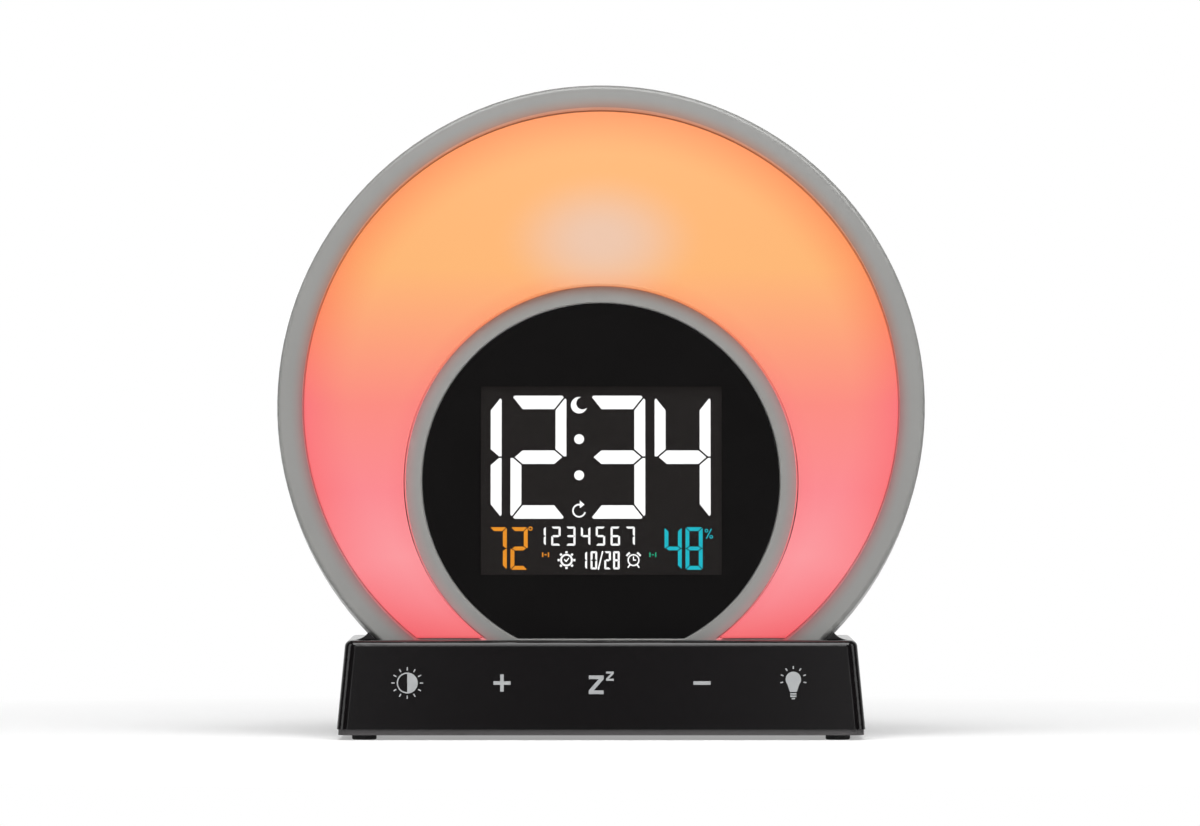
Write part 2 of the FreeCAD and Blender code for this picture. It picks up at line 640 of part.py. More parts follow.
def make_block(across, back, up, width, depth, height):
    """A rectangular block by its middle in X and its near lower corner in Y and Z."""
    block = doc.addObject("Part::Box", "block")
    bind(block, "Length", width)
    bind(block, "Width", depth)
    bind(block, "Height", height)
    bind(block, "Placement.Base.x", f"({across})-({width})/2")
    bind(block, "Placement.Base.y", back)
    bind(block, "Placement.Base.z", up)
    return block


def make_rod(across, back, up, radius, length, upright=False):
    """A round rod from a point, towards the back or straight up."""
    rod = doc.addObject("Part::Cylinder", "rod")
    bind(rod, "Radius", radius)
    bind(rod, "Height", length)
    turn = "0" if upright else "-90"
    bind(rod, "Placement", f"placement(vector({across}; {back}; {up});"
                           f" rotation(vector(1; 0; 0); {turn}))")
    return rod


def turn_head_profile(body, front, rim, shoulder, back):
    """Turn a round-shouldered profile about the disc's axis: front plane, rim, shoulder, flat back."""
    profile = new_sketch(body, plane="YZ_Plane")
    corners = [(front, "0"), (front, rim), (shoulder, rim), (back, f"{rim}-({back})+({shoulder})"),
               (back, "0")]
    points = [Vector(value(across), value(along), 0) for across, along in corners]
    sweep = value(f"({back})-({shoulder})")
    circle = Part.Circle(Vector(points[2].x, points[3].y, 0), Vector(0, 0, 1), sweep)
    edges = [profile.addGeometry(Part.LineSegment(points[0], points[1]), False),
             profile.addGeometry(Part.LineSegment(points[1], points[2]), False),
             profile.addGeometry(Part.ArcOfCircle(circle, 0, math.pi / 2), False),
             profile.addGeometry(Part.LineSegment(points[3], points[4]), False),
             profile.addGeometry(Part.LineSegment(points[4], points[0]), False)]
    ends = [(1, 2), (1, 2), (2, 1), (1, 2), (1, 2)]
    for step, edge in enumerate(edges):
        after = (step + 1) % len(edges)
        profile.addConstraint(Sketcher.Constraint("Coincident", edge, ends[step][1],
                                                  edges[after], ends[after][0]))
    for step in (0, 1, 3, 4):
        pin_point(profile, edges[step], 1, *corners[step])
    return turn_round(body, "Revolution", profile)


def cut_foot(body, front, back, foot):
    """Cut a turned solid of the head off level at its foot."""
    below = new_sketch(body, depth=f"{front}-overcut")
    draw_box(below, "0", f"{foot}-head_radius/2", "3*head_radius", "head_radius")
    return pocket(body, below, f"{back}-({front})+2*overcut")


def head_outline(name, growth):
    """The whole head as one solid, grown all round, to cut its seat out of the base."""
    body = new_body(name)
    turn_head_profile(body, f"-{growth}", f"head_radius+{growth}", "skirt_depth+wall",
                      f"cover_back+{growth}")
    cut_foot(body, f"-{growth}", f"cover_back+{growth}", f"head_foot-{growth}")
    bind(body, "Placement", HEAD_PLACE)
    return body


def make_rear_cover():
    """Domed shell with a flat back, battery well, key holes, speaker grille and screw tubes."""
    body = new_body("cover")
    turn_head_profile(body, "skirt_depth", "head_radius-cover_step-wall", "skirt_depth+wall",
                      "cover_back-wall")
    solid = cut_foot(body, "skirt_depth", "cover_back-wall", "head_foot+wall")
    doc.recompute()
    mouth = [f"Face{number}" for number, face in enumerate(solid.Shape.Faces, start=1)
             if abs(face.CenterOfMass.y - value("skirt_depth")) < NEAR]
    shell = body.newObject("PartDesign::Thickness", "cover_shell")
    shell.Base = (solid, mouth)
    bind(shell, "Value", "wall")
    shell.Reversed = False
    shell.Mode = "Skin"
    shell.Join = "Arc"
    doc.recompute()

    tubes = new_sketch(body, depth="post_back")
    seats = new_sketch(body, depth="tube_seat")
    holes = new_sketch(body, depth="post_back")
    for across, along in post_places():
        draw_circle(tubes, across, along, "tube_radius")
        draw_circle(seats, across, along, "screw_head+play")
        draw_circle(holes, across, along, "screw_shank+play")
    pad(body, tubes, "cover_back-wall/2-post_back")
    pocket(body, seats, "cover_back")
    pocket(body, holes, "cover_back-post_back-wall")

    key_posts = new_sketch(body, depth="key_board_front+board_depth")
    for side in ("-", ""):
        draw_circle(key_posts, f"{side}key_post_x", "key_row", "post_radius")
    pad(body, key_posts, "cover_back-wall/2-key_board_front-board_depth")
    key_pilots = new_sketch(body, depth="key_board_front+board_depth")
    for side in ("-", ""):
        draw_circle(key_pilots, f"{side}key_post_x", "key_row", "pilot_radius")
    pocket(body, key_pilots, "key_pilot_depth")

    well = new_sketch(body, depth="well_front")
    draw_box(well, "0", "door_up", "door_width+2*door_gap+2*well_wall",
             "door_height+2*door_gap+2*well_wall")
    pad(body, well, "cover_back-well_front-wall/2")
    inside = new_sketch(body, depth="well_front+well_wall")
    draw_box(inside, "0", "door_up", "door_width+2*door_gap", "door_height+2*door_gap")
    pocket(body, inside, "cover_back")

    bosses = new_sketch(body, plane="XY_Plane", depth="head_foot+wall/2")
    pilots = new_sketch(body, plane="XY_Plane", depth="head_foot-overcut")
    for side in ("-", ""):
        draw_circle(bosses, f"{side}neck_x", "neck_back", "neck_boss")
        draw_circle(pilots, f"{side}neck_x", "neck_back", "pilot_radius")
    draw_circle(pilots, "0", "lead_back", "lead_hole")
    pad(body, bosses, "pilot_depth/2")
    pocket(body, pilots, "pilot_depth")

    openings = new_sketch(body, depth="cover_back-2*wall")
    for place in range(len(KEY_NAMES)):
        draw_circle(openings, centred(place, len(KEY_NAMES), "key_pitch"), "key_row",
                    "key_radius+key_gap")
    draw_circle(openings, "0", "speaker_up", "grille_hole")
    for ring in range(1, GRILLE_RINGS + 1):
        holes_in_ring = HOLES_IN_FIRST_RING * ring
        for step in range(holes_in_ring):
            turn = f"{step * FULL_TURN / holes_in_ring} deg"
            draw_circle(openings, f"{ring}*grille_pitch*cos({turn})",
                        f"speaker_up+{ring}*grille_pitch*sin({turn})", "grille_hole")
    for row in range(VENT_ROWS):
        draw_box(openings, "vent_x", f"vent_up+{centred(row, VENT_ROWS, 'vent_pitch')}",
                 "vent_width", "vent_height")
    pocket(body, openings, "3*wall")
    keep(body, "rear_cover", in_head=True)


def make_speaker():
    """Round speaker behind the grille: frame with flange, paper cone, magnet."""
    frame = new_body("speaker_frame")
    flange = new_sketch(frame, depth="cover_back-wall-speaker_flange")
    draw_circle(flange, "0", "speaker_up", "speaker_radius")
    pad(frame, flange, "speaker_flange")
    basket = new_sketch(frame, depth="cover_back-wall-basket_depth")
    draw_circle(basket, "0", "speaker_up", "cone_radius+basket_wall")
    pad(frame, basket, "basket_depth-speaker_flange")
    bowl = new_sketch(frame, depth="cover_back-wall-basket_depth+basket_wall")
    draw_circle(bowl, "0", "speaker_up", "cone_radius")
    pocket(frame, bowl, "basket_depth")
    keep(frame, "speaker_frame", in_head=True)

    cone = new_body("speaker_cone")
    profile = new_sketch(cone, plane="YZ_Plane", lift="speaker_up")
    edge = "cover_back-wall-cone_gap"
    draw_polygon(profile, [(edge, "cone_radius-play"), (f"{edge}-cone_sheet", "cone_radius-play"),
                           (f"{edge}-cone_depth-cone_sheet", "dome_radius+cone_sheet"),
                           (f"{edge}-cone_depth+dome_rise-cone_sheet", "0"),
                           (f"{edge}-cone_depth+dome_rise", "0"),
                           (f"{edge}-cone_depth", "dome_radius")])
    turn_round(cone, "Revolution", profile)
    keep(cone, "speaker_cone", in_head=True)

    magnet = new_body("speaker_magnet")
    disc = new_sketch(magnet, depth="cover_back-wall-basket_depth-magnet_depth")
    draw_circle(disc, "0", "speaker_up", "magnet_radius")
    pad(magnet, disc, "magnet_depth")
    keep(magnet, "speaker_magnet", in_head=True)


def make_main_board():
    """Round board behind the display, with its chips, and the sensor board by the vents."""
    board = new_body("main_board")
    outline = new_sketch(board, depth="board_front")
    draw_cut_disc(outline, "display_drop", "board_radius", "board_foot")
    pad(board, outline, "board_depth")
    keep(board, "main_board", in_head=True)
    back = "board_front+board_depth"
    chips = [make_block(across, back, f"display_drop+({foot})", width, depth, height)
             for across, foot, width, depth, height in CHIPS]
    gather(chips, "main_board_chips", in_head=True)
    make_box_piece("climate_sensor_board", "sensor_width", "sensor_height",
                   "cover_back-wall-sensor_back", "board_depth", "vent_up", "vent_x")
    gather([make_block("vent_x", "cover_back-wall-sensor_back+board_depth", f"vent_up+({foot})",
                       width, depth, height) for foot, width, depth, height in SENSOR_PARTS],
           "climate_sensor", in_head=True)


def make_rear_keys():
    """Key board with four tact switches, and the keys and stems that travel."""
    make_box_piece("key_board", "key_board_width", "key_board_height", "key_board_front",
                   "board_depth", "key_row")
    top = "key_board_front+board_depth"
    stem_front = f"{top}+switch_depth-stem_sunk"
    collar_back = "cover_back-wall-key_rest"
    for place, name in enumerate(KEY_NAMES):
        across = centred(place, len(KEY_NAMES), "key_pitch")
        switch = new_body(f"{name}_switch")
        square = new_sketch(switch, depth=top)
        draw_box(square, across, "key_row", "switch_size", "switch_size")
        pad(switch, square, "switch_depth")
        well = new_sketch(switch, depth=f"{stem_front}-key_travel-key_rest")
        draw_circle(well, across, "key_row", "stem_radius+stem_fit")
        pocket(switch, well, "switch_depth")
        keep(switch, f"{name}_switch", in_head=True)

        stem = new_body(f"{name}_stem")
        round_end = new_sketch(stem, depth=stem_front)
        draw_circle(round_end, across, "key_row", "stem_radius")
        pad(stem, round_end, f"{collar_back}-key_collar-({stem_front})")
        keep(stem, f"{name}_stem", in_head=True)

        key = new_body(name)
        collar = new_sketch(key, depth=f"{collar_back}-key_collar")
        draw_circle(collar, across, "key_row", "key_radius+key_flange")
        pad(key, collar, "key_collar")
        cap = new_sketch(key, depth=f"{collar_back}")
        draw_circle(cap, across, "key_row", "key_radius")
        solid = pad(key, cap, f"cover_back+key_proud-({collar_back})")
        doc.recompute()
        rim = edges_where(solid, lambda edge, middle:
                          abs(middle.y - value("cover_back+key_proud")) < NEAR)
        dress(key, "Fillet", solid, rim, "Radius", "key_proud/2")
        keep(key, name, in_head=True)


def make_battery_bay():
    """Hinged door, button cell and the two spring contacts that hold it."""
    door = new_body("battery_door")
    panel = new_sketch(door, depth="cover_back-door_depth")
    draw_box(panel, "0", "door_up", "door_width", "door_height")
    solid = pad(door, panel, "door_depth")
    doc.recompute()
    low = edges_where(solid, lambda edge, middle: abs(middle.z - value("door_up-door_height/2")) < NEAR
                      and edge.Length > value("door_width") - 1)
    dress(door, "Fillet", solid, low, "Radius", "door_round")
    notch = new_sketch(door, depth="cover_back-door_depth/2")
    draw_box(notch, "0", "door_up+door_height/2-nail_inset", "nail_width", "nail_height")
    pocket(door, notch, "door_depth")
    keep(door, "battery_door", in_head=True)

    cell = new_body("backup_cell")
    floor = "well_front+well_wall"
    disc = new_sketch(cell, depth=f"{floor}+spring_depth")
    draw_circle(disc, "0", "door_up", "cell_radius")
    pad(cell, disc, "cell_depth")
    keep(cell, "backup_cell", in_head=True)
    gather([make_block("0", floor, "door_up-spring_length/2", "spring_width", "spring_depth",
                       "spring_length")], "cell_contact_minus", in_head=True)
    gather([make_block(across, floor, "door_up-contact_low", "contact_sheet", "contact_side",
                       "contact_side")
            for across in ("-cell_radius-contact_gap", "cell_radius+contact_gap")],
           "cell_contact_plus", in_head=True)


def make_screw(across, back, up, upright=False):
    """A small screw by the seat of its head, its shank towards the front or straight up."""
    if upright:
        head = make_rod(across, back, f"{up}-screw_cap", "screw_head", "screw_cap", upright)
        shank = make_rod(across, back, up, "screw_shank", "screw_length", upright)
    else:
        head = make_rod(across, back, up, "screw_head", "screw_cap")
        shank = make_rod(across, f"{back}-screw_length", up, "screw_shank", "screw_length")
    screw = doc.addObject("Part::Fuse", "screw")
    screw.Base = head
    screw.Tool = shank
    return screw


def make_head_screws():
    """Cover screws in the rear tubes, neck screws from the base, and the lead to the base."""
    gather([make_screw(across, "tube_seat", along) for across, along in post_places()],
           "cover_screws", in_head=True)
    gather([make_screw(f"{side}neck_x", "neck_back", "head_foot-saddle_gap-wall", upright=True)
            for side in ("-", "")], "neck_screws", in_head=True)
    heads = [make_rod(f"{side}key_post_x", "key_board_front-screw_cap", "key_row", "screw_head",
                      "screw_cap") for side in ("-", "")]
    gather(heads, "key_board_screws", in_head=True)
    lead = doc.addObject("Part::Fuse", "lead")
    lead.Base = make_rod("0", "lead_back", "head_foot-lead_down", "lead_radius", "lead_length",
                         upright=True)
    lead.Tool = make_block("0", "board_front+board_depth", "head_foot+plug_up", "plug_width",
                           "plug_depth", "plug_height")
    gather([lead], "head_lead", in_head=True)


def draw_rounded_pad(body, width, depth, low, height, corner, draft="0"):
    """A rectangular pad about the Z axis with rounded upright corners."""
    outline = new_sketch(body, plane="XY_Plane", depth=low)
    draw_box(outline, "0", "0", width, depth)
    solid = pad(body, outline, height)
    bind(solid, "TaperAngle", f"-({draft})")
    doc.recompute()
    upright = edges_where(solid, lambda edge, middle:
                          abs(edge.Vertexes[0].Z - edge.Vertexes[-1].Z) > value(height) / 2)
    return dress(body, "Fillet", solid, upright, "Radius", corner)


def draw_collar(body):
    """The two hollow flares that run from the flat base top up against the disc."""
    bow = "((collar_reach-collar_tip)^2+collar_rise^2)/(2*collar_rise)"
    reach, tip = value("collar_reach"), value("collar_tip")
    top, rise, radius = value("base_top"), value("collar_rise"), value(bow)
    half_turn = math.asin((reach - tip) / radius) / 2
    for side, sign in ((1, ""), (-1, "-")):
        profile = new_sketch(body, depth="collar_front")
        corners = [("collar_reach", "base_top-wall/2"), ("collar_reach", "base_top"),
                   ("collar_tip", "base_top+collar_rise"),
                   ("(collar_tip-2*wall)", "base_top+collar_rise"),
                   ("(collar_tip-2*wall)", "base_top-wall/2")]
        points = [Vector(side * value(across), value(along), 0) for across, along in corners]
        middle = Vector(side * (reach - radius * math.sin(half_turn)),
                        top + radius - radius * math.cos(half_turn), 0)
        edges = [profile.addGeometry(Part.LineSegment(points[0], points[1]), False),
                 profile.addGeometry(Part.Arc(points[1], middle, points[2]), False),
                 profile.addGeometry(Part.LineSegment(points[2], points[3]), False),
                 profile.addGeometry(Part.LineSegment(points[3], points[4]), False),
                 profile.addGeometry(Part.LineSegment(points[4], points[0]), False)]
        low_first = (profile.getPoint(edges[1], 1) - points[1]).Length < NEAR
        ends = [(1, 2), (1, 2) if low_first else (2, 1), (1, 2), (1, 2), (1, 2)]
        for step, edge in enumerate(edges):
            after = (step + 1) % len(edges)
            profile.addConstraint(Sketcher.Constraint("Coincident", edge, ends[step][1],
                                                      edges[after], ends[after][0]))
        fix(profile, "Radius", (edges[1],), bow)
        for step in (0, 2, 3, 4):
            pin_point(profile, edges[step], 1, f"{sign}{corners[step][0]}", corners[step][1])
        pin_point(profile, edges[0], 2, f"{sign}{corners[1][0]}", corners[1][1])
        pad(body, profile, "collar_length")


def cut_from(base, tool):
    """One solid less another."""
    cut = doc.addObject("Part::Cut", "cut")
    cut.Base = base
    cut.Tool = tool
    return cut


def join_all(members):
    """Several solids as one."""
    joined = doc.addObject("Part::MultiFuse", "joined")
    joined.Shapes = members
    return joined


def four_places(across, along):
    """The four corners at a distance each way from the middle."""
    return [(f"{side}{across}", f"{end}{along}") for side in ("-", "") for end in ("-", "")]


def make_base_shell():
    """Glossy shell, drafted all round, with the head's tub sunk into its top and a collar."""
    outer = new_body("base_outside")
    low = "shell_foot"
    rounded = draw_rounded_pad(outer, "base_width", "base_depth", low, f"base_top-{low}",
                               "base_corner", "base_draft")
    doc.recompute()
    top = edges_where(rounded, lambda edge, middle: edge.BoundBox.ZMin > value("base_top") - NEAR)
    dress(outer, "Fillet", rounded, top, "Radius", "base_round")
    draw_collar(outer)
    seat = head_outline("head_seat", "saddle_gap")
    tub = head_outline("head_tub", "(saddle_gap+wall)")

    inner = new_body("base_inside")
    draw_rounded_pad(inner, "base_width-2*wall", "base_depth-2*wall", f"{low}-overcut",
                     f"base_top-wall-{low}+overcut", "base_corner-wall/2", "base_draft")
    posts = join_all([make_rod(across, along, low, "plate_post", f"base_top-{low}", upright=True)
                      for across, along in four_places("plate_screw_x", "plate_screw_y")])
    cavity = cut_from(cut_from(inner, tub), posts)

    pilots = [make_rod(across, along, f"{low}-overcut", "pilot_radius", "pilot_depth+overcut",
                       upright=True)
              for across, along in four_places("plate_screw_x", "plate_screw_y")]
    jack_hole = make_rod("jack_x", "power_y+power_depth/2", "jack_up", "jack_nose+play",
                         "base_depth/2")
    usb_hole = make_block("usb_x", "power_y+power_depth/2", "usb_up-usb_height/2-play",
                          "usb_width+2*play", "base_depth/2", "usb_height+2*play")
    neck = [make_rod(f"{side}neck_x", "neck_back", "head_foot-lead_down", "screw_shank+play",
                     "neck_hole", upright=True) for side in ("-", "")]
    neck.append(make_rod("0", "lead_back", "head_foot-lead_down", "lead_hole", "neck_hole",
                         upright=True))
    neck_holes = join_all(neck)
    bind(neck_holes, "Placement", HEAD_PLACE)
    holes = join_all([jack_hole, usb_hole, neck_holes] + pilots)
    shell = cut_from(cut_from(cut_from(outer, seat), cavity), holes)
    keep(shell, "base_shell")


def make_base_plate():
    """Matt plate that closes the base, with board posts, counterbores and four rubber feet."""
    body = new_body("plate")
    draw_rounded_pad(body, "base_width-2*plate_inset", "base_depth-2*plate_inset", "foot_height",
                     "plate_band", "base_corner")
    low = "shell_foot"
    spigot = new_sketch(body, plane="XY_Plane", depth=low)
    draw_box(spigot, "0", "0", "base_width-2*wall-2*plate_inset-2*base_corner",
             "base_depth-2*wall-2*plate_inset")
    pad(body, spigot, "plate_spigot")
    posts = new_sketch(body, plane="XY_Plane", depth=low)
    for across, along in four_places("(power_width/2-power_post_x)", "(power_depth/2-power_post_y)"):
        draw_circle(posts, across, f"power_y+{along}", "post_radius")
    pad(body, posts, f"power_up-{low}")
    relief = new_sketch(body, plane="XY_Plane", depth=low)
    shanks = new_sketch(body, plane="XY_Plane", depth="foot_height")
    seats = new_sketch(body, plane="XY_Plane", depth="foot_height")
    for across, along in four_places("plate_screw_x", "plate_screw_y"):
        draw_circle(relief, across, along, "plate_post+plate_post_gap")
        draw_circle(shanks, across, along, "screw_shank+play")
        draw_circle(seats, across, along, "screw_head+play")
    pocket(body, relief, "2*plate_spigot")
    pocket(body, seats, "plate_band-plate_floor")
    pocket(body, shanks, "2*plate_band")
    keep(body, "base_plate")
    gather([make_screw(across, along, "shell_foot-plate_floor", upright=True)
            for across, along in four_places("plate_screw_x", "plate_screw_y")], "plate_screws")
    for name, (across, along) in zip(("foot_front_left", "foot_rear_left", "foot_front_right",
                                      "foot_rear_right"), four_places("foot_x", "foot_y")):
        foot = new_body(name)
        disc = new_sketch(foot, plane="XY_Plane")
        draw_circle(disc, across, along, "foot_radius")
        solid = pad(foot, disc, "foot_height")
        doc.recompute()
        low_rim = edges_where(solid, lambda edge, middle: middle.z < NEAR)
        dress(foot, "Fillet", solid, low_rim, "Radius", "foot_height/3")
        keep(foot, name)


def make_touch_board():
    """Touch board that leans with the front wall, and a spring pad behind each of the five spots."""
    set_back = "base_depth/2-wall-touch_standoff-(touch_up-shell_foot)*tan(base_draft)"
    against_wall = (f"placement(vector(0; -({set_back}); touch_up);"
                    " rotation(vector(1; 0; 0); -base_draft))")
    board = make_block("0", "0", "-touch_height/2-touch_low", "touch_width", "board_depth",
                       "touch_height")
    group = gather([board], "touch_board")
    bind(group, "Placement", against_wall)
    pads = [make_rod(centred(place, TOUCH_SPOTS, "touch_pitch"), "-touch_standoff+touch_rest", "0",
                     "pad_radius", "touch_standoff-touch_rest") for place in range(TOUCH_SPOTS)]
    group = gather(pads, "touch_pads")
    bind(group, "Placement", against_wall)


def make_power_board():
    """Board on the base plate with its parts, the power jack and the USB charging socket."""
    gather([make_block("0", "power_y-power_depth/2", "power_up", "power_width", "power_depth",
                       "board_depth")], "power_board")
    top = "power_up+board_depth"
    parts = [make_rod(across, "can_y", top, "can_radius", "can_height", upright=True)
             for across in CAN_PLACES]
    parts += [make_block(across, f"power_y+({back})", top, width, depth, height)
              for across, back, width, depth, height in POWER_PARTS]
    gather(parts, "power_board_parts")

    rear = "(base_depth/2-wall-(jack_up-shell_foot)*tan(base_draft)-jack_set_in)"
    front = f"{rear}-jack_length"
    body = make_block("jack_x", front, top, "jack_width", "jack_length",
                      f"jack_up+jack_height/2-({top})")
    nose = make_rod("jack_x", f"{rear}-overcut", "jack_up", "jack_nose", "wall+overcut")
    bore = make_rod("jack_x", f"{front}+jack_floor", "jack_up", "jack_bore", "jack_length+wall")
    keep(cut_from(join_all([body, nose]), bore), "dc_jack")
    gather([make_rod("jack_x", f"{front}+jack_floor", "jack_up", "jack_pin",
                     "jack_length-jack_floor")], "dc_jack_pin")

    rear = "(base_depth/2-usb_set_in-(usb_up-shell_foot)*tan(base_draft))"
    front = f"{rear}-usb_length"
    low = "usb_up-usb_height/2"
    block = make_block("usb_x", front, low, "usb_width", "usb_length", "usb_height")
    inside = make_block("usb_x", f"{front}+usb_sheet", f"{low}+usb_sheet",
                        "usb_width-2*usb_sheet", "usb_length", "usb_height-2*usb_sheet")
    keep(cut_from(block, inside), "usb_shell")
    gather([make_block("usb_x", f"{front}+usb_sheet", f"{low}+usb_sheet+tongue_rise",
                       "tongue_width", "usb_length-tongue_short", "tongue_depth")], "usb_tongue")


def check_and_write():
    """Stop on any failed feature or poor solid, then write each node to its own file."""
    doc.recompute()
    failed = [thing.Label for thing in doc.Objects
              if "Invalid" in thing.State or "Error" in thing.State]
    poor = [node.Label for node in nodes if node.Shape.isNull() or not node.Shape.isValid()]
    if failed or poor:
        raise RuntimeError(f"failed: {failed}, poor shapes: {poor}")
    os.makedirs("parts", exist_ok=True)
    for node in nodes:
        node.Shape.exportStep(f"parts/{node.Label}.step")
        print(f"{node.Label}: {len(node.Shape.Solids)} solids, {node.Shape.Volume:.0f} mm3")


make_front_bezel()
make_light_diffuser()
make_display_lens()
make_display_mask()
make_display_stack()
make_light_engine()
make_rear_cover()
make_speaker()
make_main_board()
make_rear_keys()
make_battery_bay()
make_head_screws()
make_base_shell()
make_base_plate()
make_touch_board()
make_power_board()
check_and_write()
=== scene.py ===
"""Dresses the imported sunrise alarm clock: finishes, display figures, printed icons and the studio."""
import logging
import math
from collections.abc import Sequence
from dataclasses import dataclass, field
from enum import Enum

import bmesh
import bpy
from mathutils import Matrix, Vector


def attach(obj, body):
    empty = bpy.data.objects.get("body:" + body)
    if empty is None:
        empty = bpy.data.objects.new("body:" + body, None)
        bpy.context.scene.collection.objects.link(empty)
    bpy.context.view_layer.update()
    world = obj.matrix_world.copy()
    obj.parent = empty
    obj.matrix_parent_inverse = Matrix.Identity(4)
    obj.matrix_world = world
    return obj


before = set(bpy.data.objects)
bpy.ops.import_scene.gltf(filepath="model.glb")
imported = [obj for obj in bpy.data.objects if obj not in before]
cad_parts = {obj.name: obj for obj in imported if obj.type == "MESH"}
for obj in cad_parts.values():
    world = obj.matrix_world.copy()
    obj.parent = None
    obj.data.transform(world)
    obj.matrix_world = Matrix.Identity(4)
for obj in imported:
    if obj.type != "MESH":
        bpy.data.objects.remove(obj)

log = logging.getLogger("sunrise_alarm_clock")

Colour = tuple[float, float, float, float]
Point = tuple[float, float]
Socket = bpy.types.NodeSocket
Sockets = bpy.types.NodeOutputs
Value = Socket | float | Colour

MM = 0.001
LEAN = math.radians(7.0)
HEAD_CENTRE = Vector((0.0, -16.0, 92.5)) * MM
HEAD = Matrix.Translation(HEAD_CENTRE) @ Matrix.Rotation(-LEAN, 4, "X")
HUB_DROP = 21.1 * MM
DRAFT = math.radians(5.4)
PRINT_THICKNESS = 0.05
CLOUD_SCALE = 38.0
SKIN_DEPTH = 0.04 * MM
BLACK = (0.0, 0.0, 0.0, 1.0)
WHITE = (1.0, 1.0, 1.0, 1.0)
SQUARE = ((-1, -1), (1, -1), (1, 1), (-1, 1))
CLOCK = "clock"


def srgb(*channels: float) -> Colour:
    """Red, green and blue of 0 to 255 as a linear shader colour with full alpha."""
    parts = (channel / 255 for channel in channels)
    return tuple(part / 12.92 if part <= 0.04045 else ((part + 0.055) / 1.055) ** 2.4
                 for part in parts) + (1.0,)


def scaled(colour: Colour, share: float) -> Colour:
    """A colour made darker or lighter, with full alpha."""
    return tuple(min(1.0, channel * share) for channel in colour[:3]) + (1.0,)


def in_scene(name: str, data: bpy.types.ID) -> bpy.types.Object:
    """A new object at the origin that holds some data, linked into the scene.

    Args:
        name: The object's name.
        data: Its mesh, lamp or camera.

    Returns:
        The object.
    """
    made = bpy.data.objects.new(name, data)
    bpy.context.scene.collection.objects.link(made)
    return made


def as_mesh(name: str, shape: bmesh.types.BMesh, material: bpy.types.Material) -> bpy.types.Object:
    """A modelled shape as an object that wears its finish.

    Args:
        name: The object's name.
        shape: The shape, which is used up.
        material: The finish.

    Returns:
        The object.
    """
    data = bpy.data.meshes.new(name)
    shape.to_mesh(data)
    shape.free()
    data.materials.append(material)
    return in_scene(name, data)


class Glow(Enum):
    """What the display's figures are lit by: colour and strength."""

    WHITE = (WHITE, 3.23)
    ORANGE = ((0.93, 0.34, 0.022, 1.0), 2.47)
    TEAL = ((0.012, 0.52, 0.62, 1.0), 2.565)
    GREEN = ((0.02, 0.55, 0.30, 1.0), 1.9)


class Tone(Enum):
    """Tones that the lit window shows."""

    EMBER = srgb(250, 100, 108)
    ROSE_RED = srgb(253, 114, 119)
    ROSE = srgb(254, 135, 142)
    PINK = srgb(255, 152, 158)
    CORAL = srgb(254, 137, 125)
    APRICOT = srgb(255, 159, 118)
    TANGERINE = srgb(255, 134, 94)
    ORANGE = srgb(255, 148, 88)
    AMBER = srgb(255, 182, 112)
    PALE = srgb(235, 200, 178)


class Nodes:
    """Short hand for building a node tree."""

    def __init__(self, tree: bpy.types.NodeTree) -> None:
        """Take the tree that is built on."""
        self.tree = tree

    def fill(self, end: Socket, value: Value) -> None:
        """Give an input its pattern or its constant.

        Args:
            end: The input.
            value: Another node's output, or the constant.
        """
        if isinstance(value, bpy.types.NodeSocket):
            self.tree.links.new(value, end)
        else:
            end.default_value = value

    def add(self, kind: str, inputs: dict[str | int, Value], **options: str) -> Sockets:
        """Add a node.

        Args:
            kind: Its kind, such as Mapping.
            inputs: What its inputs get.
            options: Its settings.

        Returns:
            Its outputs.
        """
        node = self.tree.nodes.new(f"ShaderNode{kind}")
        for name, option in options.items():
            setattr(node, name, option)
        for name, value in inputs.items():
            self.fill(node.inputs[name], value)
        return node.outputs

    def split(self, place: Socket) -> Sockets:
        """Coordinates one by one, under their letters X, Y and Z."""
        return self.add("SeparateXYZ", {"Vector": place})

    def length(self, place: Socket) -> Socket:
        """Distance of a place from the origin."""
        return self.add("VectorMath", {0: place}, operation="LENGTH")["Value"]

    def remap(self, value: Socket, low: float, high: float, out_low: float = 0.0,
              out_high: float = 1.0, kind: str = "LINEAR") -> Socket:
        """A value moved from the range low to high into another range, and kept inside it."""
        return self.add("MapRange", {"Value": value, "From Min": low, "From Max": high,
                                     "To Min": out_low, "To Max": out_high},
                        interpolation_type=kind)["Result"]

    def calc(self, operation: str, *values: Value) -> Socket:
        """What one Math node makes of one or two values."""
        return self.add("Math", dict(enumerate(values)), operation=operation)["Value"]

    def between(self, factor: Socket, first: Value, second: Value) -> Socket:
        """A number that goes from the first to the second as a factor goes from 0 to 1."""
        return self.add("Mix", {"Factor": factor, "A": first, "B": second})["Result"]

    def mix(self, factor: Value, first: Socket, second: Value, kind: str = "MIX") -> Socket:
        """A colour with so much of a second one laid over it."""
        return self.add("Mix", {"Factor": factor, 6: first, 7: second}, data_type="RGBA",
                        blend_type=kind)[2]


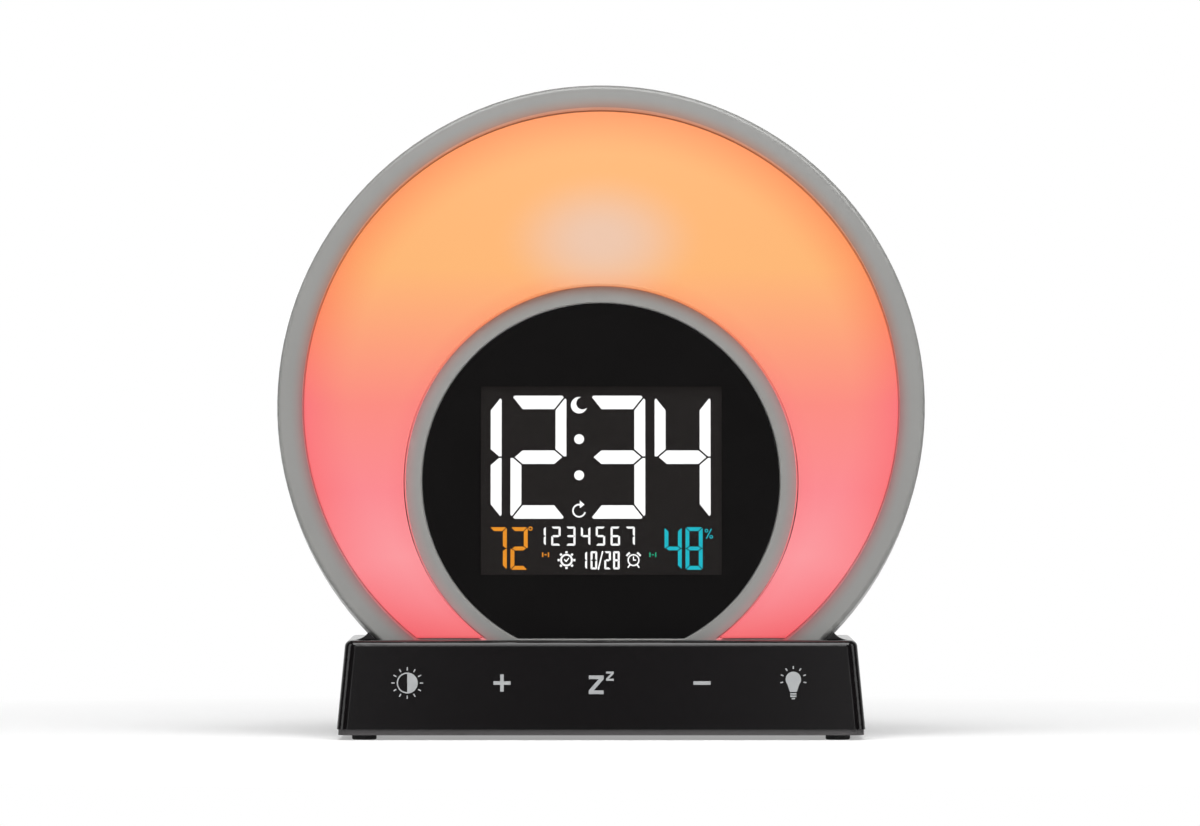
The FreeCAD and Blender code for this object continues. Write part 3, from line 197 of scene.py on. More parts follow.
class Surface(Nodes):
    """One material: a Principled surface and patterns over the object's own coordinates."""

    def __init__(self, name: str) -> None:
        """Start the material.

        Args:
            name: Its name.
        """
        self.material = bpy.data.materials.new(name)
        self.material.use_nodes = True
        super().__init__(self.material.node_tree)
        self.tree.nodes.clear()
        self.output = self.tree.nodes.new("ShaderNodeOutputMaterial")
        self.body = self.tree.nodes.new("ShaderNodeBsdfPrincipled")
        self.fill(self.output.inputs["Surface"], self.body.outputs["BSDF"])
        self.place = self.add("TexCoord", {})["Object"]

    def set(self, **values: Value) -> None:
        """Patterns and constants on the surface, by socket name with underscores."""
        for name, value in values.items():
            self.fill(self.body.inputs[name.replace("_", " ")], value)

    def noise(self, scale: float, detail: float = 2.0,
              stretch: tuple[float, float, float] = (1, 1, 1)) -> Socket:
        """Noise of so many features a metre and so many octaves, stretched along each axis."""
        place = self.add("Mapping", {"Vector": self.place, "Scale": stretch})["Vector"]
        return self.add("TexNoise", {"Vector": place, "Scale": scale, "Detail": detail})["Fac"]

    def ramp(self, factor: Socket, stops: list[tuple[float, Colour]]) -> Socket:
        """A colour ramp.

        Args:
            factor: What drives the ramp.
            stops: Positions and colours.

        Returns:
            The ramp's colour.
        """
        ramp = self.tree.nodes.new("ShaderNodeValToRGB")
        elements = ramp.color_ramp.elements
        while len(elements) < len(stops):
            elements.new(0.5)
        for element, (position, colour) in zip(elements, stops):
            element.position = position
            element.color = colour
        self.fill(ramp.inputs["Fac"], factor)
        return ramp.outputs["Color"]

    def drift(self, factor: Socket, first: Colour, second: Colour, low: float = 0.3,
              high: float = 0.7) -> Socket:
        """A colour that goes from one to another as a pattern rises from low to high."""
        return self.ramp(factor, [(low, first), (high, second)])

    def bump(self, height: Socket, strength: float, distance: float) -> None:
        """Raise the surface by a pattern, so strongly and by such a distance."""
        values = {"Height": height, "Strength": strength, "Distance": distance}
        self.set(Normal=self.add("Bump", values)["Normal"])

    def skin(self, scale: float, roughness: float, grain: float) -> None:
        """The skin that a mould leaves: its roughness varies a little, and it may be grained.

        Args:
            scale: Features per metre.
            roughness: Mean roughness.
            grain: Strength of the raised grain.
        """
        pattern = self.noise(scale)
        self.set(Roughness=self.remap(pattern, 0.3, 0.7, roughness * 0.92, roughness * 1.08))
        if grain:
            self.bump(pattern, grain, SKIN_DEPTH)

    def shine(self, tone: Socket, strength: float, body_share: float) -> None:
        """Let a tone give off light, over a body that keeps only a share of the tone."""
        self.set(Base_Color=self.mix(1 - body_share, tone, BLACK), Emission_Color=tone,
                 Emission_Strength=strength)


@dataclass(frozen=True)
class Finish:
    """A finish that a material is made from."""

    name: str

    def make(self) -> bpy.types.Material:
        """Build the material.

        Returns:
            The material, with the finish laid on.
        """
        surface = Surface(self.name)
        self.lay(surface)
        return surface.material

    def lay(self, surface: Surface) -> None:
        """Lay the finish on a surface."""
        raise NotImplementedError


@dataclass(frozen=True)
class Plastic(Finish):
    """Moulded plastic: a colour that wanders a little and a fine spark-eroded or polished skin."""

    colour: Colour
    roughness: float
    grain: float
    grain_scale: float
    coat: float = 0.0
    coat_roughness: float = 0.03
    specular: float = 0.5
    wander: float = 0.06

    def lay(self, surface: Surface) -> None:
        """Lay the finish on a surface.

        Args:
            surface: The surface.
        """
        dark, light = (scaled(self.colour, 1 + side * self.wander) for side in (-1, 1))
        surface.set(Base_Color=surface.drift(surface.noise(CLOUD_SCALE), dark, light),
                    Coat_Weight=self.coat, Coat_Roughness=self.coat_roughness,
                    Specular_IOR_Level=self.specular)
        surface.skin(self.grain_scale, self.roughness, self.grain)


@dataclass(frozen=True)
class Metal(Finish):
    """Bare or plated metal with a fine drawn grain."""

    colour: Colour
    roughness: float = 0.28
    spread: float = 0.3
    dull: float = 0.86
    grain_scale: float = 900.0
    grain_detail: float = 3.0
    stretch: tuple[float, float, float] = (1.0, 1.0, 12.0)

    def lay(self, surface: Surface) -> None:
        """Lay the finish on a surface.

        Args:
            surface: The surface.
        """
        grain = surface.noise(self.grain_scale, self.grain_detail, self.stretch)
        low, high = (self.roughness * (1 + side * self.spread) for side in (-1, 1))
        surface.set(Base_Color=surface.drift(grain, scaled(self.colour, self.dull), self.colour),
                    Roughness=surface.remap(grain, 0.2, 0.8, low, high), Metallic=1.0)


@dataclass(frozen=True)
class CircuitBoard(Finish):
    """Solder mask over copper: broad tracks and pours show as a lighter, slightly raised tone."""

    mask: Colour
    copper: Colour
    tracks_scale: float = 260.0
    track_edge: Point = (0.42, 0.46)
    relief: float = 0.3
    track_height: float = 0.05 * MM

    def lay(self, surface: Surface) -> None:
        """Lay the finish on a surface.

        Args:
            surface: The surface.
        """
        cells = surface.add("TexVoronoi", {"Vector": surface.place, "Scale": self.tracks_scale},
                            distance="MANHATTAN")
        edge = surface.remap(cells["Distance"], *self.track_edge)
        surface.bump(edge, self.relief, self.track_height)
        surface.set(Base_Color=surface.drift(edge, self.mask, self.copper, 0.0, 1.0),
                    Roughness=0.35, Coat_Weight=0.4, Coat_Roughness=0.12)


@dataclass(frozen=True)
class Ink(Finish):
    """Printed or lit ink, a shade uneven, that gives off some of its own light."""

    colour: Colour
    glow: float
    body_share: float = 1.0
    dim: float = 0.93
    cloud_scale: float = 420.0

    def lay(self, surface: Surface) -> None:
        """Lay the finish on a surface.

        Args:
            surface: The surface.
        """
        cloud = surface.noise(self.cloud_scale)
        tone = surface.drift(cloud, scaled(self.colour, self.dim), self.colour, 0.35, 0.65)
        surface.shine(tone, self.glow, self.body_share)
        surface.set(Roughness=0.5)


@dataclass(frozen=True)
class LitDiffuser(Finish):
    """Milky window lit from behind: amber over the top, rose down the sides, deeper at its rims.

    Its tones are given by height from the disc's centre, in millimetres.
    """

    name: str = "lit_diffuser"
    strength: float = 0.81
    body_share: float = 0.10
    rim_radius: float = 82.6 * MM
    hub_radius: float = 54.6 * MM
    hub_drop: float = HUB_DROP
    rim_fade: float = 13.0 * MM
    rim_power: float = 1.3
    hub_fade: float = 5.0 * MM
    hub_depth: float = 0.3
    patch_rise: float = 46.0 * MM
    patch_reach: Point = (30.0 * MM, 20.0 * MM)
    patch_core: float = 0.1
    patch_share: float = 0.85
    grain: float = 0.05
    grain_scale: float = 3600.0
    grain_depth: float = 0.03 * MM
    inside: tuple[tuple[float, Tone], ...] = (
        (-64.0, Tone.ROSE_RED), (-55.0, Tone.ROSE), (-42.0, Tone.PINK), (-24.0, Tone.ROSE),
        (0.0, Tone.CORAL), (18.0, Tone.APRICOT), (38.0, Tone.AMBER), (82.0, Tone.AMBER))
    rim: tuple[tuple[float, Tone], ...] = (
        (-64.0, Tone.EMBER), (-45.0, Tone.ROSE), (-24.0, Tone.ROSE_RED), (0.0, Tone.ROSE_RED),
        (24.0, Tone.TANGERINE), (42.0, Tone.ORANGE), (82.0, Tone.ORANGE))

    def lay(self, surface: Surface) -> None:
        """Lay the finish on a surface.

        Args:
            surface: The surface.
        """
        along = surface.split(surface.place)
        inside, rim = (self.tones(surface, along, stops) for stops in (self.inside, self.rim))
        outward = self.reach(surface, along, HEAD_CENTRE.z)
        inward = self.reach(surface, along, HEAD_CENTRE.z - self.hub_drop)
        near_rim = surface.remap(outward, self.rim_radius - self.rim_fade, self.rim_radius)
        near_hub = surface.remap(inward, self.hub_radius + self.hub_fade, self.hub_radius, 0.0,
                                 self.hub_depth)
        edge = surface.calc("MAXIMUM", surface.calc("POWER", near_rim, self.rim_power), near_hub)
        tone = surface.mix(self.pale_patch(surface), surface.mix(edge, inside, rim),
                           Tone.PALE.value)
        surface.shine(tone, self.strength, self.body_share)
        surface.bump(surface.noise(self.grain_scale), self.grain, self.grain_depth)
        surface.set(Roughness=0.4, Specular_IOR_Level=0.2, Coat_Weight=0.35, Coat_Roughness=0.22)

    def tones(self, surface: Surface, along: Sockets,
              stops: tuple[tuple[float, Tone], ...]) -> Socket:
        """A ramp of tones up the disc.

        Args:
            surface: The surface that is dressed.
            along: The object's coordinates.
            stops: Heights and their tones.

        Returns:
            The tone.
        """
        span = self.rim_radius / MM
        height = surface.remap(along["Z"], HEAD_CENTRE.z - self.rim_radius,
                               HEAD_CENTRE.z + self.rim_radius)
        return surface.ramp(height, [((rise + span) / (2 * span), tone.value)
                                     for rise, tone in stops])

    def pale_patch(self, surface: Surface) -> Socket:
        """A soft oval patch above the display, where the window's tone is mixed towards a pale tone.

        Args:
            surface: The surface that is dressed.

        Returns:
            How much of the patch's tone shows.
        """
        wide, tall = self.patch_reach
        patch = surface.add("Mapping", {"Vector": surface.place, "Scale": (wide, 1.0, tall),
                                        "Location": HEAD_CENTRE + Vector((0, 0, self.patch_rise))},
                            vector_type="TEXTURE")
        return surface.remap(surface.length(patch["Vector"]), 1.0, self.patch_core, 0.0,
                             self.patch_share, "SMOOTHSTEP")

    def reach(self, surface: Surface, along: Sockets, centre: float) -> Socket:
        """Distance in the disc's plane from a centre on its upright axis.

        Args:
            surface: The surface that is dressed.
            along: The object's coordinates.
            centre: Height of the centre.

        Returns:
            The distance.
        """
        up = surface.calc("SUBTRACT", along["Z"], centre)
        squares = [surface.calc("POWER", surface.calc("ABSOLUTE", part), 2.0)
                   for part in (up, along["X"])]
        return surface.calc("SQRT", surface.calc("ADD", *squares))


@dataclass(frozen=True)
class LitBezel(Finish):
    """Satin grey moulding, with painted light beside the window: a painted spill of the window's light
    tints and lights it near the window's edges, and painted highlights line those edges.
    """

    name: str = "bezel_satin_grey"
    colour: Colour = srgb(117, 117, 115)
    wander: float = 0.05
    roughness: float = 0.34
    grain: float = 0.12
    grain_scale: float = 6400.0
    window: LitDiffuser = LitDiffuser()
    # Painted light beside the window: the painted spill's reach, fall-off, tint and glow, then the
    # width and strength of the painted highlight on each edge's lip.
    spill: float = 4.0 * MM
    spill_power: float = 1.8
    share: float = 0.75
    glow: float = 0.06
    lip: float = 0.5 * MM
    lip_core: float = 0.7
    painted_lip_highlight: float = 0.2
    hub_share: float = 2.4

    def lay(self, surface: Surface) -> None:
        """Lay the finish on a surface.

        Args:
            surface: The surface.
        """
        along = surface.split(surface.place)
        sides, painted_glows = [], []
        hub_height = HEAD_CENTRE.z - self.window.hub_drop
        for height, radius, share in ((HEAD_CENTRE.z, self.window.rim_radius, 1.0),
                                      (hub_height, self.window.hub_radius, self.hub_share)):
            away = surface.calc("SUBTRACT", self.window.reach(surface, along, height), radius)
            away = surface.calc("ABSOLUTE", away)
            # Painted spill fading out from each window edge, and a painted highlight on the lip next to
            # it.
            side = surface.calc("POWER", surface.remap(away, self.spill, 0.0), self.spill_power)
            lip = surface.remap(away, self.lip, self.lip * self.lip_core, 0.0,
                                self.painted_lip_highlight * share)
            sides.append(surface.calc("MULTIPLY", side, 1 / share))
            painted_spill_glow = surface.calc("MULTIPLY", side, self.glow * share)
            painted_glows.append(surface.calc("ADD", painted_spill_glow, lip))
        # The painted spill tints the grey by the window's rim tones, and the painted glow and lip
        # highlights are given off as emission.
        painted_spill_tint = surface.calc("MULTIPLY", surface.calc("MAXIMUM", *sides), self.share)
        grey = surface.drift(surface.noise(CLOUD_SCALE), self.colour,
                             scaled(self.colour, 1 + self.wander))
        painted_spill_tone = self.window.tones(surface, along, self.window.rim)
        surface.set(Base_Color=surface.mix(painted_spill_tint, grey, painted_spill_tone, "MULTIPLY"),
                    Emission_Color=painted_spill_tone, Emission_Strength=surface.calc("MAXIMUM", *painted_glows))
        surface.skin(self.grain_scale, self.roughness, self.grain)


@dataclass(frozen=True)
class SmokedLens(Finish):
    """Glossy black lens, printed black behind but for a smoked window over the LCD."""

    name: str = "smoked_lens"
    blacks: tuple[Colour, Colour] = (srgb(9, 8, 8), srgb(11, 10, 10))
    smear_scale: float = 60.0
    roughness: Point = (0.05, 0.06)
    refraction: float = 1.49
    tint: float = 0.45
    window: Point = (67.4 * MM, 53.0 * MM)
    drop: float = HUB_DROP
    soft_edge: float = 0.25 * MM

    def lay(self, surface: Surface) -> None:
        """Lay the finish on a surface.

        Args:
            surface: The surface.
        """
        wide, tall = self.window
        middle = HEAD_CENTRE.z - self.drop * math.cos(LEAN)
        along = surface.split(surface.place)
        sides = []
        for axis, centre, size in (("X", 0.0, wide), ("Z", middle, tall * math.cos(LEAN))):
            away = surface.calc("ABSOLUTE", surface.calc("SUBTRACT", along[axis], centre))
            sides.append(surface.remap(away, size / 2 - self.soft_edge, size / 2))
        covered = surface.calc("MAXIMUM", *sides)
        smear = surface.noise(self.smear_scale)
        surface.set(Base_Color=surface.drift(smear, *self.blacks),
                    Roughness=surface.remap(smear, 0.2, 0.8, *self.roughness),
                    Alpha=surface.remap(covered, 0.0, 1.0, self.tint, 1.0), IOR=self.refraction)
        surface.material.surface_render_method = "BLENDED"


KEYS = ("alarm_key", "clock_key", "sound_key", "display_key")
# Which CAD nodes wear each finish. A plastic's roughness, grain and grain scale follow its colour.
WEARERS: tuple[tuple[Finish, tuple[str, ...]], ...] = (
    (LitBezel(), ("front_bezel",)),
    (LitDiffuser(), ("light_diffuser",)),
    (SmokedLens(), ("display_lens",)),
    (Plastic("cover_textured_grey", srgb(130, 130, 128), 0.52, 0.5, 3600.0),
     ("rear_cover", "battery_door")),
    (Plastic("base_piano_black", srgb(8, 6, 7), 0.16, 0.0, 800.0, coat=0.2, specular=0.25),
     ("base_shell",)),
    (Plastic("plate_matt_black", srgb(57, 55, 56), 0.62, 0.6, 2600.0), ("base_plate",)),
    (Plastic("mask_black", srgb(13, 11, 12), 0.6, 0.0, 900.0), ("display_mask",)),
    (Plastic("foot_rubber", srgb(40, 40, 41), 0.8, 0.7, 1800.0),
     ("foot_front_left", "foot_front_right", "foot_rear_left", "foot_rear_right")),
    (Plastic("key_soft_black", srgb(44, 44, 46), 0.4, 0.3, 4200.0),
     (*KEYS, *(f"{key}_stem" for key in KEYS))),
    (Plastic("inner_white_plastic", srgb(226, 225, 220), 0.5, 0.2, 3000.0),
     ("lcd_frame", "light_reflector")),
    (Plastic("component_black", srgb(34, 34, 37), 0.55, 0.5, 5200.0),
     ("main_board_chips", "climate_sensor", "power_board_parts", "dc_jack",
      *(f"{key}_switch" for key in KEYS))),
    (Plastic("lead_jacket", srgb(36, 36, 38), 0.5, 0.4, 2400.0), ("lcd_lead", "head_lead")),
    (Plastic("speaker_paper", srgb(42, 41, 40), 0.85, 1.0, 1500.0), ("speaker_cone",)),
    (Plastic("led_phosphor", srgb(245, 214, 120), 0.35, 0.2, 4000.0), ("light_leds",)),
    (Plastic("light_guide", srgb(232, 236, 238), 0.25, 0.1, 2600.0), ("backlight_guide",)),
    (Plastic("lcd_glass_black", srgb(20, 18, 18), 0.18, 0.0, 900.0), ("lcd_glass",)),
    (Metal("screw_steel", srgb(176, 177, 180)),
     ("speaker_frame", "speaker_magnet", "cover_screws", "neck_screws", "key_board_screws",
      "plate_screws")),
    (Metal("contact_nickel", srgb(206, 202, 190), roughness=0.2),
     ("backup_cell", "cell_contact_minus", "cell_contact_plus", "dc_jack_pin", "usb_shell")),
    (Metal("spring_brass", srgb(206, 176, 110), roughness=0.24), ("touch_pads",)),
    (CircuitBoard("green_board", srgb(18, 82, 46), srgb(38, 118, 66)),
     ("main_board", "climate_sensor_board", "key_board", "touch_board", "power_board")),
    (CircuitBoard("white_board", srgb(224, 224, 220), srgb(238, 238, 234)),
     ("light_board", "usb_tongue")),
)


class FlatWork:
    """Thin printed or lit shapes, drawn in millimetres on a plane and placed by a matrix."""

    def __init__(self, name: str, plane: Matrix, thickness: float) -> None:
        """Start an empty sheet.

        Args:
            name: The piece's name.
            plane: Turns the sheet's X, Y and Z, right, up and outwards, into the scene's frame.
            thickness: How far the shapes stand out of the plane, in millimetres.
        """
        self.name = name
        self.plane = plane
        self.thickness = thickness
        self.mesh = bmesh.new()

    def polygon(self, points: Sequence[Point], x: float = 0.0, y: float = 0.0) -> None:
        """Add one filled outline about a place, corners going anticlockwise."""
        self.mesh.faces.new([self.mesh.verts.new((x + px, y + py, 0.0)) for px, py in points])

    def disc(self, x: float, y: float, radius: float, segments: int = 40) -> None:
        """Add a filled circle."""
        bmesh.ops.create_circle(self.mesh, cap_ends=True, radius=radius, segments=segments,
                                matrix=Matrix.Translation((x, y, 0.0)))

    def moon(self, x: float, y: float, radius: float, hollow: float, apart: float,
             turn: float, steps: int = 24) -> None:
        """Add a crescent: a disc less a smaller disc beside its middle.

        Args:
            x: The disc's centre.
            y: The disc's centre.
            radius: The disc's radius.
            hollow: Radius of the disc taken off.
            apart: From one centre to the other.
            turn: Direction of the second centre, in degrees from the right.
            steps: Steps from horn to horn, where its two arcs meet and are merged at the finish.
        """
        meet = (apart ** 2 + radius ** 2 - hollow ** 2) / (2 * apart)
        outer = math.acos(meet / radius)
        inner = math.acos((meet - apart) / hollow)
        place = Matrix.Translation((x, y, 0.0)) @ Matrix.Rotation(math.radians(turn), 4, "Z")
        rows = []
        for step in range(steps + 1):
            row = []
            for middle, reach, horn in ((0.0, radius, outer), (apart, hollow, inner)):
                way = horn + step / steps * 2 * (math.pi - horn)
                point = Vector((middle + reach * math.cos(way), reach * math.sin(way), 0.0))
                row.append(self.mesh.verts.new(place @ point))
            rows.append(row)
        for (out_a, in_a), (out_b, in_b) in zip(rows, rows[1:]):
            self.mesh.faces.new((out_a, out_b, in_b, in_a))

    def arc(self, x: float, y: float, radius: float, width: float, start: float = 0.0,
            turn: float = 360.0, segments: int = 48) -> None:
        """Add a ring or part of one.

        Args:
            x: Centre.
            y: Centre.
            radius: Middle of the line.
            width: Width of the line.
            start: Where it starts, in degrees from the right.
            turn: How far it goes, anticlockwise, in degrees.
            segments: Steps along it.
        """
        rise = Matrix.Rotation(math.radians(start), 4, "Z")
        ends = [self.mesh.verts.new(Vector((x, y, 0)) + rise @ Vector((reach, 0, 0)))
                for reach in (radius - width / 2, radius + width / 2)]
        edge = self.mesh.edges.new(ends)
        bmesh.ops.spin(self.mesh, geom=ends + [edge], cent=(x, y, 0), axis=(0, 0, 1),
                       angle=math.radians(turn), steps=segments, use_merge=turn >= 360,
                       use_duplicate=False)

    def stroke(self, points: Sequence[Point], width: float, x: float = 0.0,
               y: float = 0.0) -> None:
        """Add a line of even width, each run a bar with rounded joints.

        Args:
            points: What it goes through.
            width: Width of the line.
            x: Where the points are counted from.
            y: Where the points are counted from.
        """
        for (x0, y0), (x1, y1) in zip(points, points[1:]):
            across, up = x1 - x0, y1 - y0
            self.bar(x + (x0 + x1) / 2, y + (y0 + y1) / 2, math.hypot(across, up), width,
                     math.degrees(math.atan2(up, across)))
        for px, py in points:
            self.disc(x + px, y + py, width / 2, 12)

    def bar(self, x: float, y: float, width: float, height: float, turn: float = 0.0) -> None:
        """Add a rectangle about its middle, turned in degrees."""
        place = Matrix.Rotation(math.radians(turn), 2) @ Matrix.Diagonal((width / 2, height / 2))
        self.polygon([place @ Vector(corner) for corner in SQUARE], x, y)

    def rays(self, x: float, y: float, reach: float, size: Point, count: int, step: float,
             start: float = 0.0) -> None:
        """Add bars that point outwards round a centre.

        Args:
            x: The centre.
            y: The centre.
            reach: From the centre to a bar's middle.
            size: A bar's length and width.
            count: How many there are.
            step: From one to the next, in degrees.
            start: Where the first is, in degrees from the right.
        """
        for turn in (start + step * ray for ray in range(count)):
            way = math.radians(turn)
            self.bar(x + reach * math.cos(way), y + reach * math.sin(way), *size, turn)

    def finish(self, material: bpy.types.Material, slot: str,
               body: str = CLOCK) -> bpy.types.Object:
        """Give the shapes their thickness, place them and hang them on a body.

        Args:
            material: The ink.
            slot: Not used.
            body: The CAD body that the piece moves with.

        Returns:
            The finished piece.
        """
        bmesh.ops.remove_doubles(self.mesh, verts=self.mesh.verts, dist=0.0005)
        bmesh.ops.recalc_face_normals(self.mesh, faces=self.mesh.faces)
        for face in self.mesh.faces:
            if face.normal.z < 0:
                face.normal_flip()
        grown = bmesh.ops.extrude_face_region(self.mesh, geom=list(self.mesh.faces))
        raised = [item for item in grown["geom"] if isinstance(item, bmesh.types.BMVert)]
        bmesh.ops.translate(self.mesh, verts=raised, vec=(0, 0, self.thickness))
        bmesh.ops.recalc_face_normals(self.mesh, faces=self.mesh.faces)
        bmesh.ops.transform(self.mesh, matrix=self.plane @ Matrix.Scale(MM, 4),
                            verts=self.mesh.verts)
        piece = as_mesh(self.name, self.mesh, material)
        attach(piece, body)
        return piece


def around(radius: float, start: int, end: int, step: int) -> list[Point]:
    """Points about the origin, anticlockwise from one turn to another in degrees."""
    turns = (math.radians(turn) for turn in range(start, end + 1, step))
    return [(radius * math.cos(turn), radius * math.sin(turn)) for turn in turns]


@dataclass(frozen=True)
class SegmentFigure:
    """A seven-segment figure: bars with mitred ends and a hairline between neighbours."""

    width: float
    height: float
    upright: float
    level: float
    gap: float
    corner: float
    waist: float = 0.3
    lit: dict[str, str] = field(default_factory=lambda: {
        "0": "abcdef", "1": "bc", "2": "abged", "3": "abgcd", "4": "fgbc", "5": "afgcd",
        "6": "afgedc", "7": "abc", "8": "abcdefg", "9": "abcdfg"})

    def segments(self) -> dict[str, list[Point]]:
        """Outlines of the seven bars, from the figure's lower left corner.

        Returns:
            Segment letter to corners.
        """
        wide, tall, thick, deep = self.width, self.height, self.upright, self.level
        half, cut, nose = tall / 2, self.corner, thick * self.waist
        top = [(cut, tall), (cut / 2, tall - cut / 2), (thick, tall - deep),
               (wide - thick, tall - deep), (wide - cut / 2, tall - cut / 2), (wide - cut, tall)]
        left = [(0, half), (nose, half), (thick, half + deep / 2), (thick, tall - deep),
                (cut / 2, tall - cut / 2), (0, tall - cut)]
        middle = [(nose, half), (thick, half - deep / 2), (wide - thick, half - deep / 2),
                  (wide - nose, half), (wide - thick, half + deep / 2), (thick, half + deep / 2)]

        def flip(points: list[Point], across: bool, over: bool) -> list[Point]:
            """Mirror an outline in the figure's middle lines."""
            turned = [(wide - x if across else x, tall - y if over else y) for x, y in points]
            return turned[::-1] if across != over else turned
        bars = {"a": top, "d": flip(top, False, True), "f": left, "b": flip(left, True, False),
                "e": flip(left, False, True), "c": flip(left, True, True), "g": middle}
        return {letter: self.shrink(bar) for letter, bar in bars.items()}

    def shrink(self, outline: list[Point]) -> list[Point]:
        """Draw an anticlockwise outline's edges in by half the gap.

        Args:
            outline: Corners of a bar that touches the bars next to it.

        Returns:
            Corners of the bar with its share of the gap taken off.
        """
        lines = []
        for start, end in zip(outline, outline[1:] + outline[:1]):
            along = (Vector(end) - Vector(start)).normalized()
            lines.append((Vector(start) + Vector((-along.y, along.x)) * self.gap / 2, along))
        corners = []
        for (before, came), (after, goes) in zip(lines[-1:] + lines[:-1], lines):
            turn = came.x * goes.y - came.y * goes.x
            step = ((after.x - before.x) * goes.y - (after.y - before.y) * goes.x) / turn
            corners.append(tuple(before + came * step))
        return corners

    def draw(self, work: FlatWork, figures: str, places: Sequence[float], foot: float) -> None:
        """Add a row of figures.

        Args:
            work: The sheet.
            figures: The figures.
            places: The left side of each.
            foot: The foot of them all.
        """
        outlines = self.segments()
        for figure, left in zip(figures, places):
            for letter in self.lit[figure]:
                work.polygon(outlines[letter], left, foot)


@dataclass(frozen=True)
class ClockSign:
    """A round clock face with two hands, under two bells if it stands for an alarm.

    Bells are given by their place out from the middle, their rise over it and their length.
    """

    radius: float
    line: float
    hands: Point
    hand_line: float
    bells: tuple[float, float, float] | None = None
    bell_line: float = 0.5
    segments: int = 32

    def draw(self, work: FlatWork, x: float, y: float) -> None:
        """Add the sign.

        Args:
            work: The sheet.
            x: The face's middle.
            y: The face's middle.
        """
        up, across = self.hands
        work.arc(x, y, self.radius, self.line, segments=self.segments)
        work.stroke([(0.0, up), (0.0, 0.0), (across, 0.0)], self.hand_line, x, y)
        if self.bells:
            out, rise, length = self.bells
            for side in (-1, 1):
                work.bar(x + side * out, y + rise, length, self.bell_line, -45 * side)


@dataclass(frozen=True)
class Zigzag:
    """One zigzag of the sleep sign, placed from the sign's middle."""

    across: float
    up: float
    wide: float
    tall: float
    line: float
    slant: float = 1.35

    def draw(self, work: FlatWork, x: float, y: float) -> None:
        """Add the zigzag.

        Args:
            work: The sheet.
            x: The sign's middle.
            y: The sign's middle.
        """
        x, y = x + self.across, y + self.up
        side, low, slant = self.wide / 2, self.tall / 2 - self.line, self.slant * self.line
        for end in (-1, 1):
            work.bar(x, y + end * (self.tall - self.line) / 2, self.wide, self.line)
        work.polygon([(-side, -low), (slant - side, -low), (side, low), (side - slant, low)], x, y)


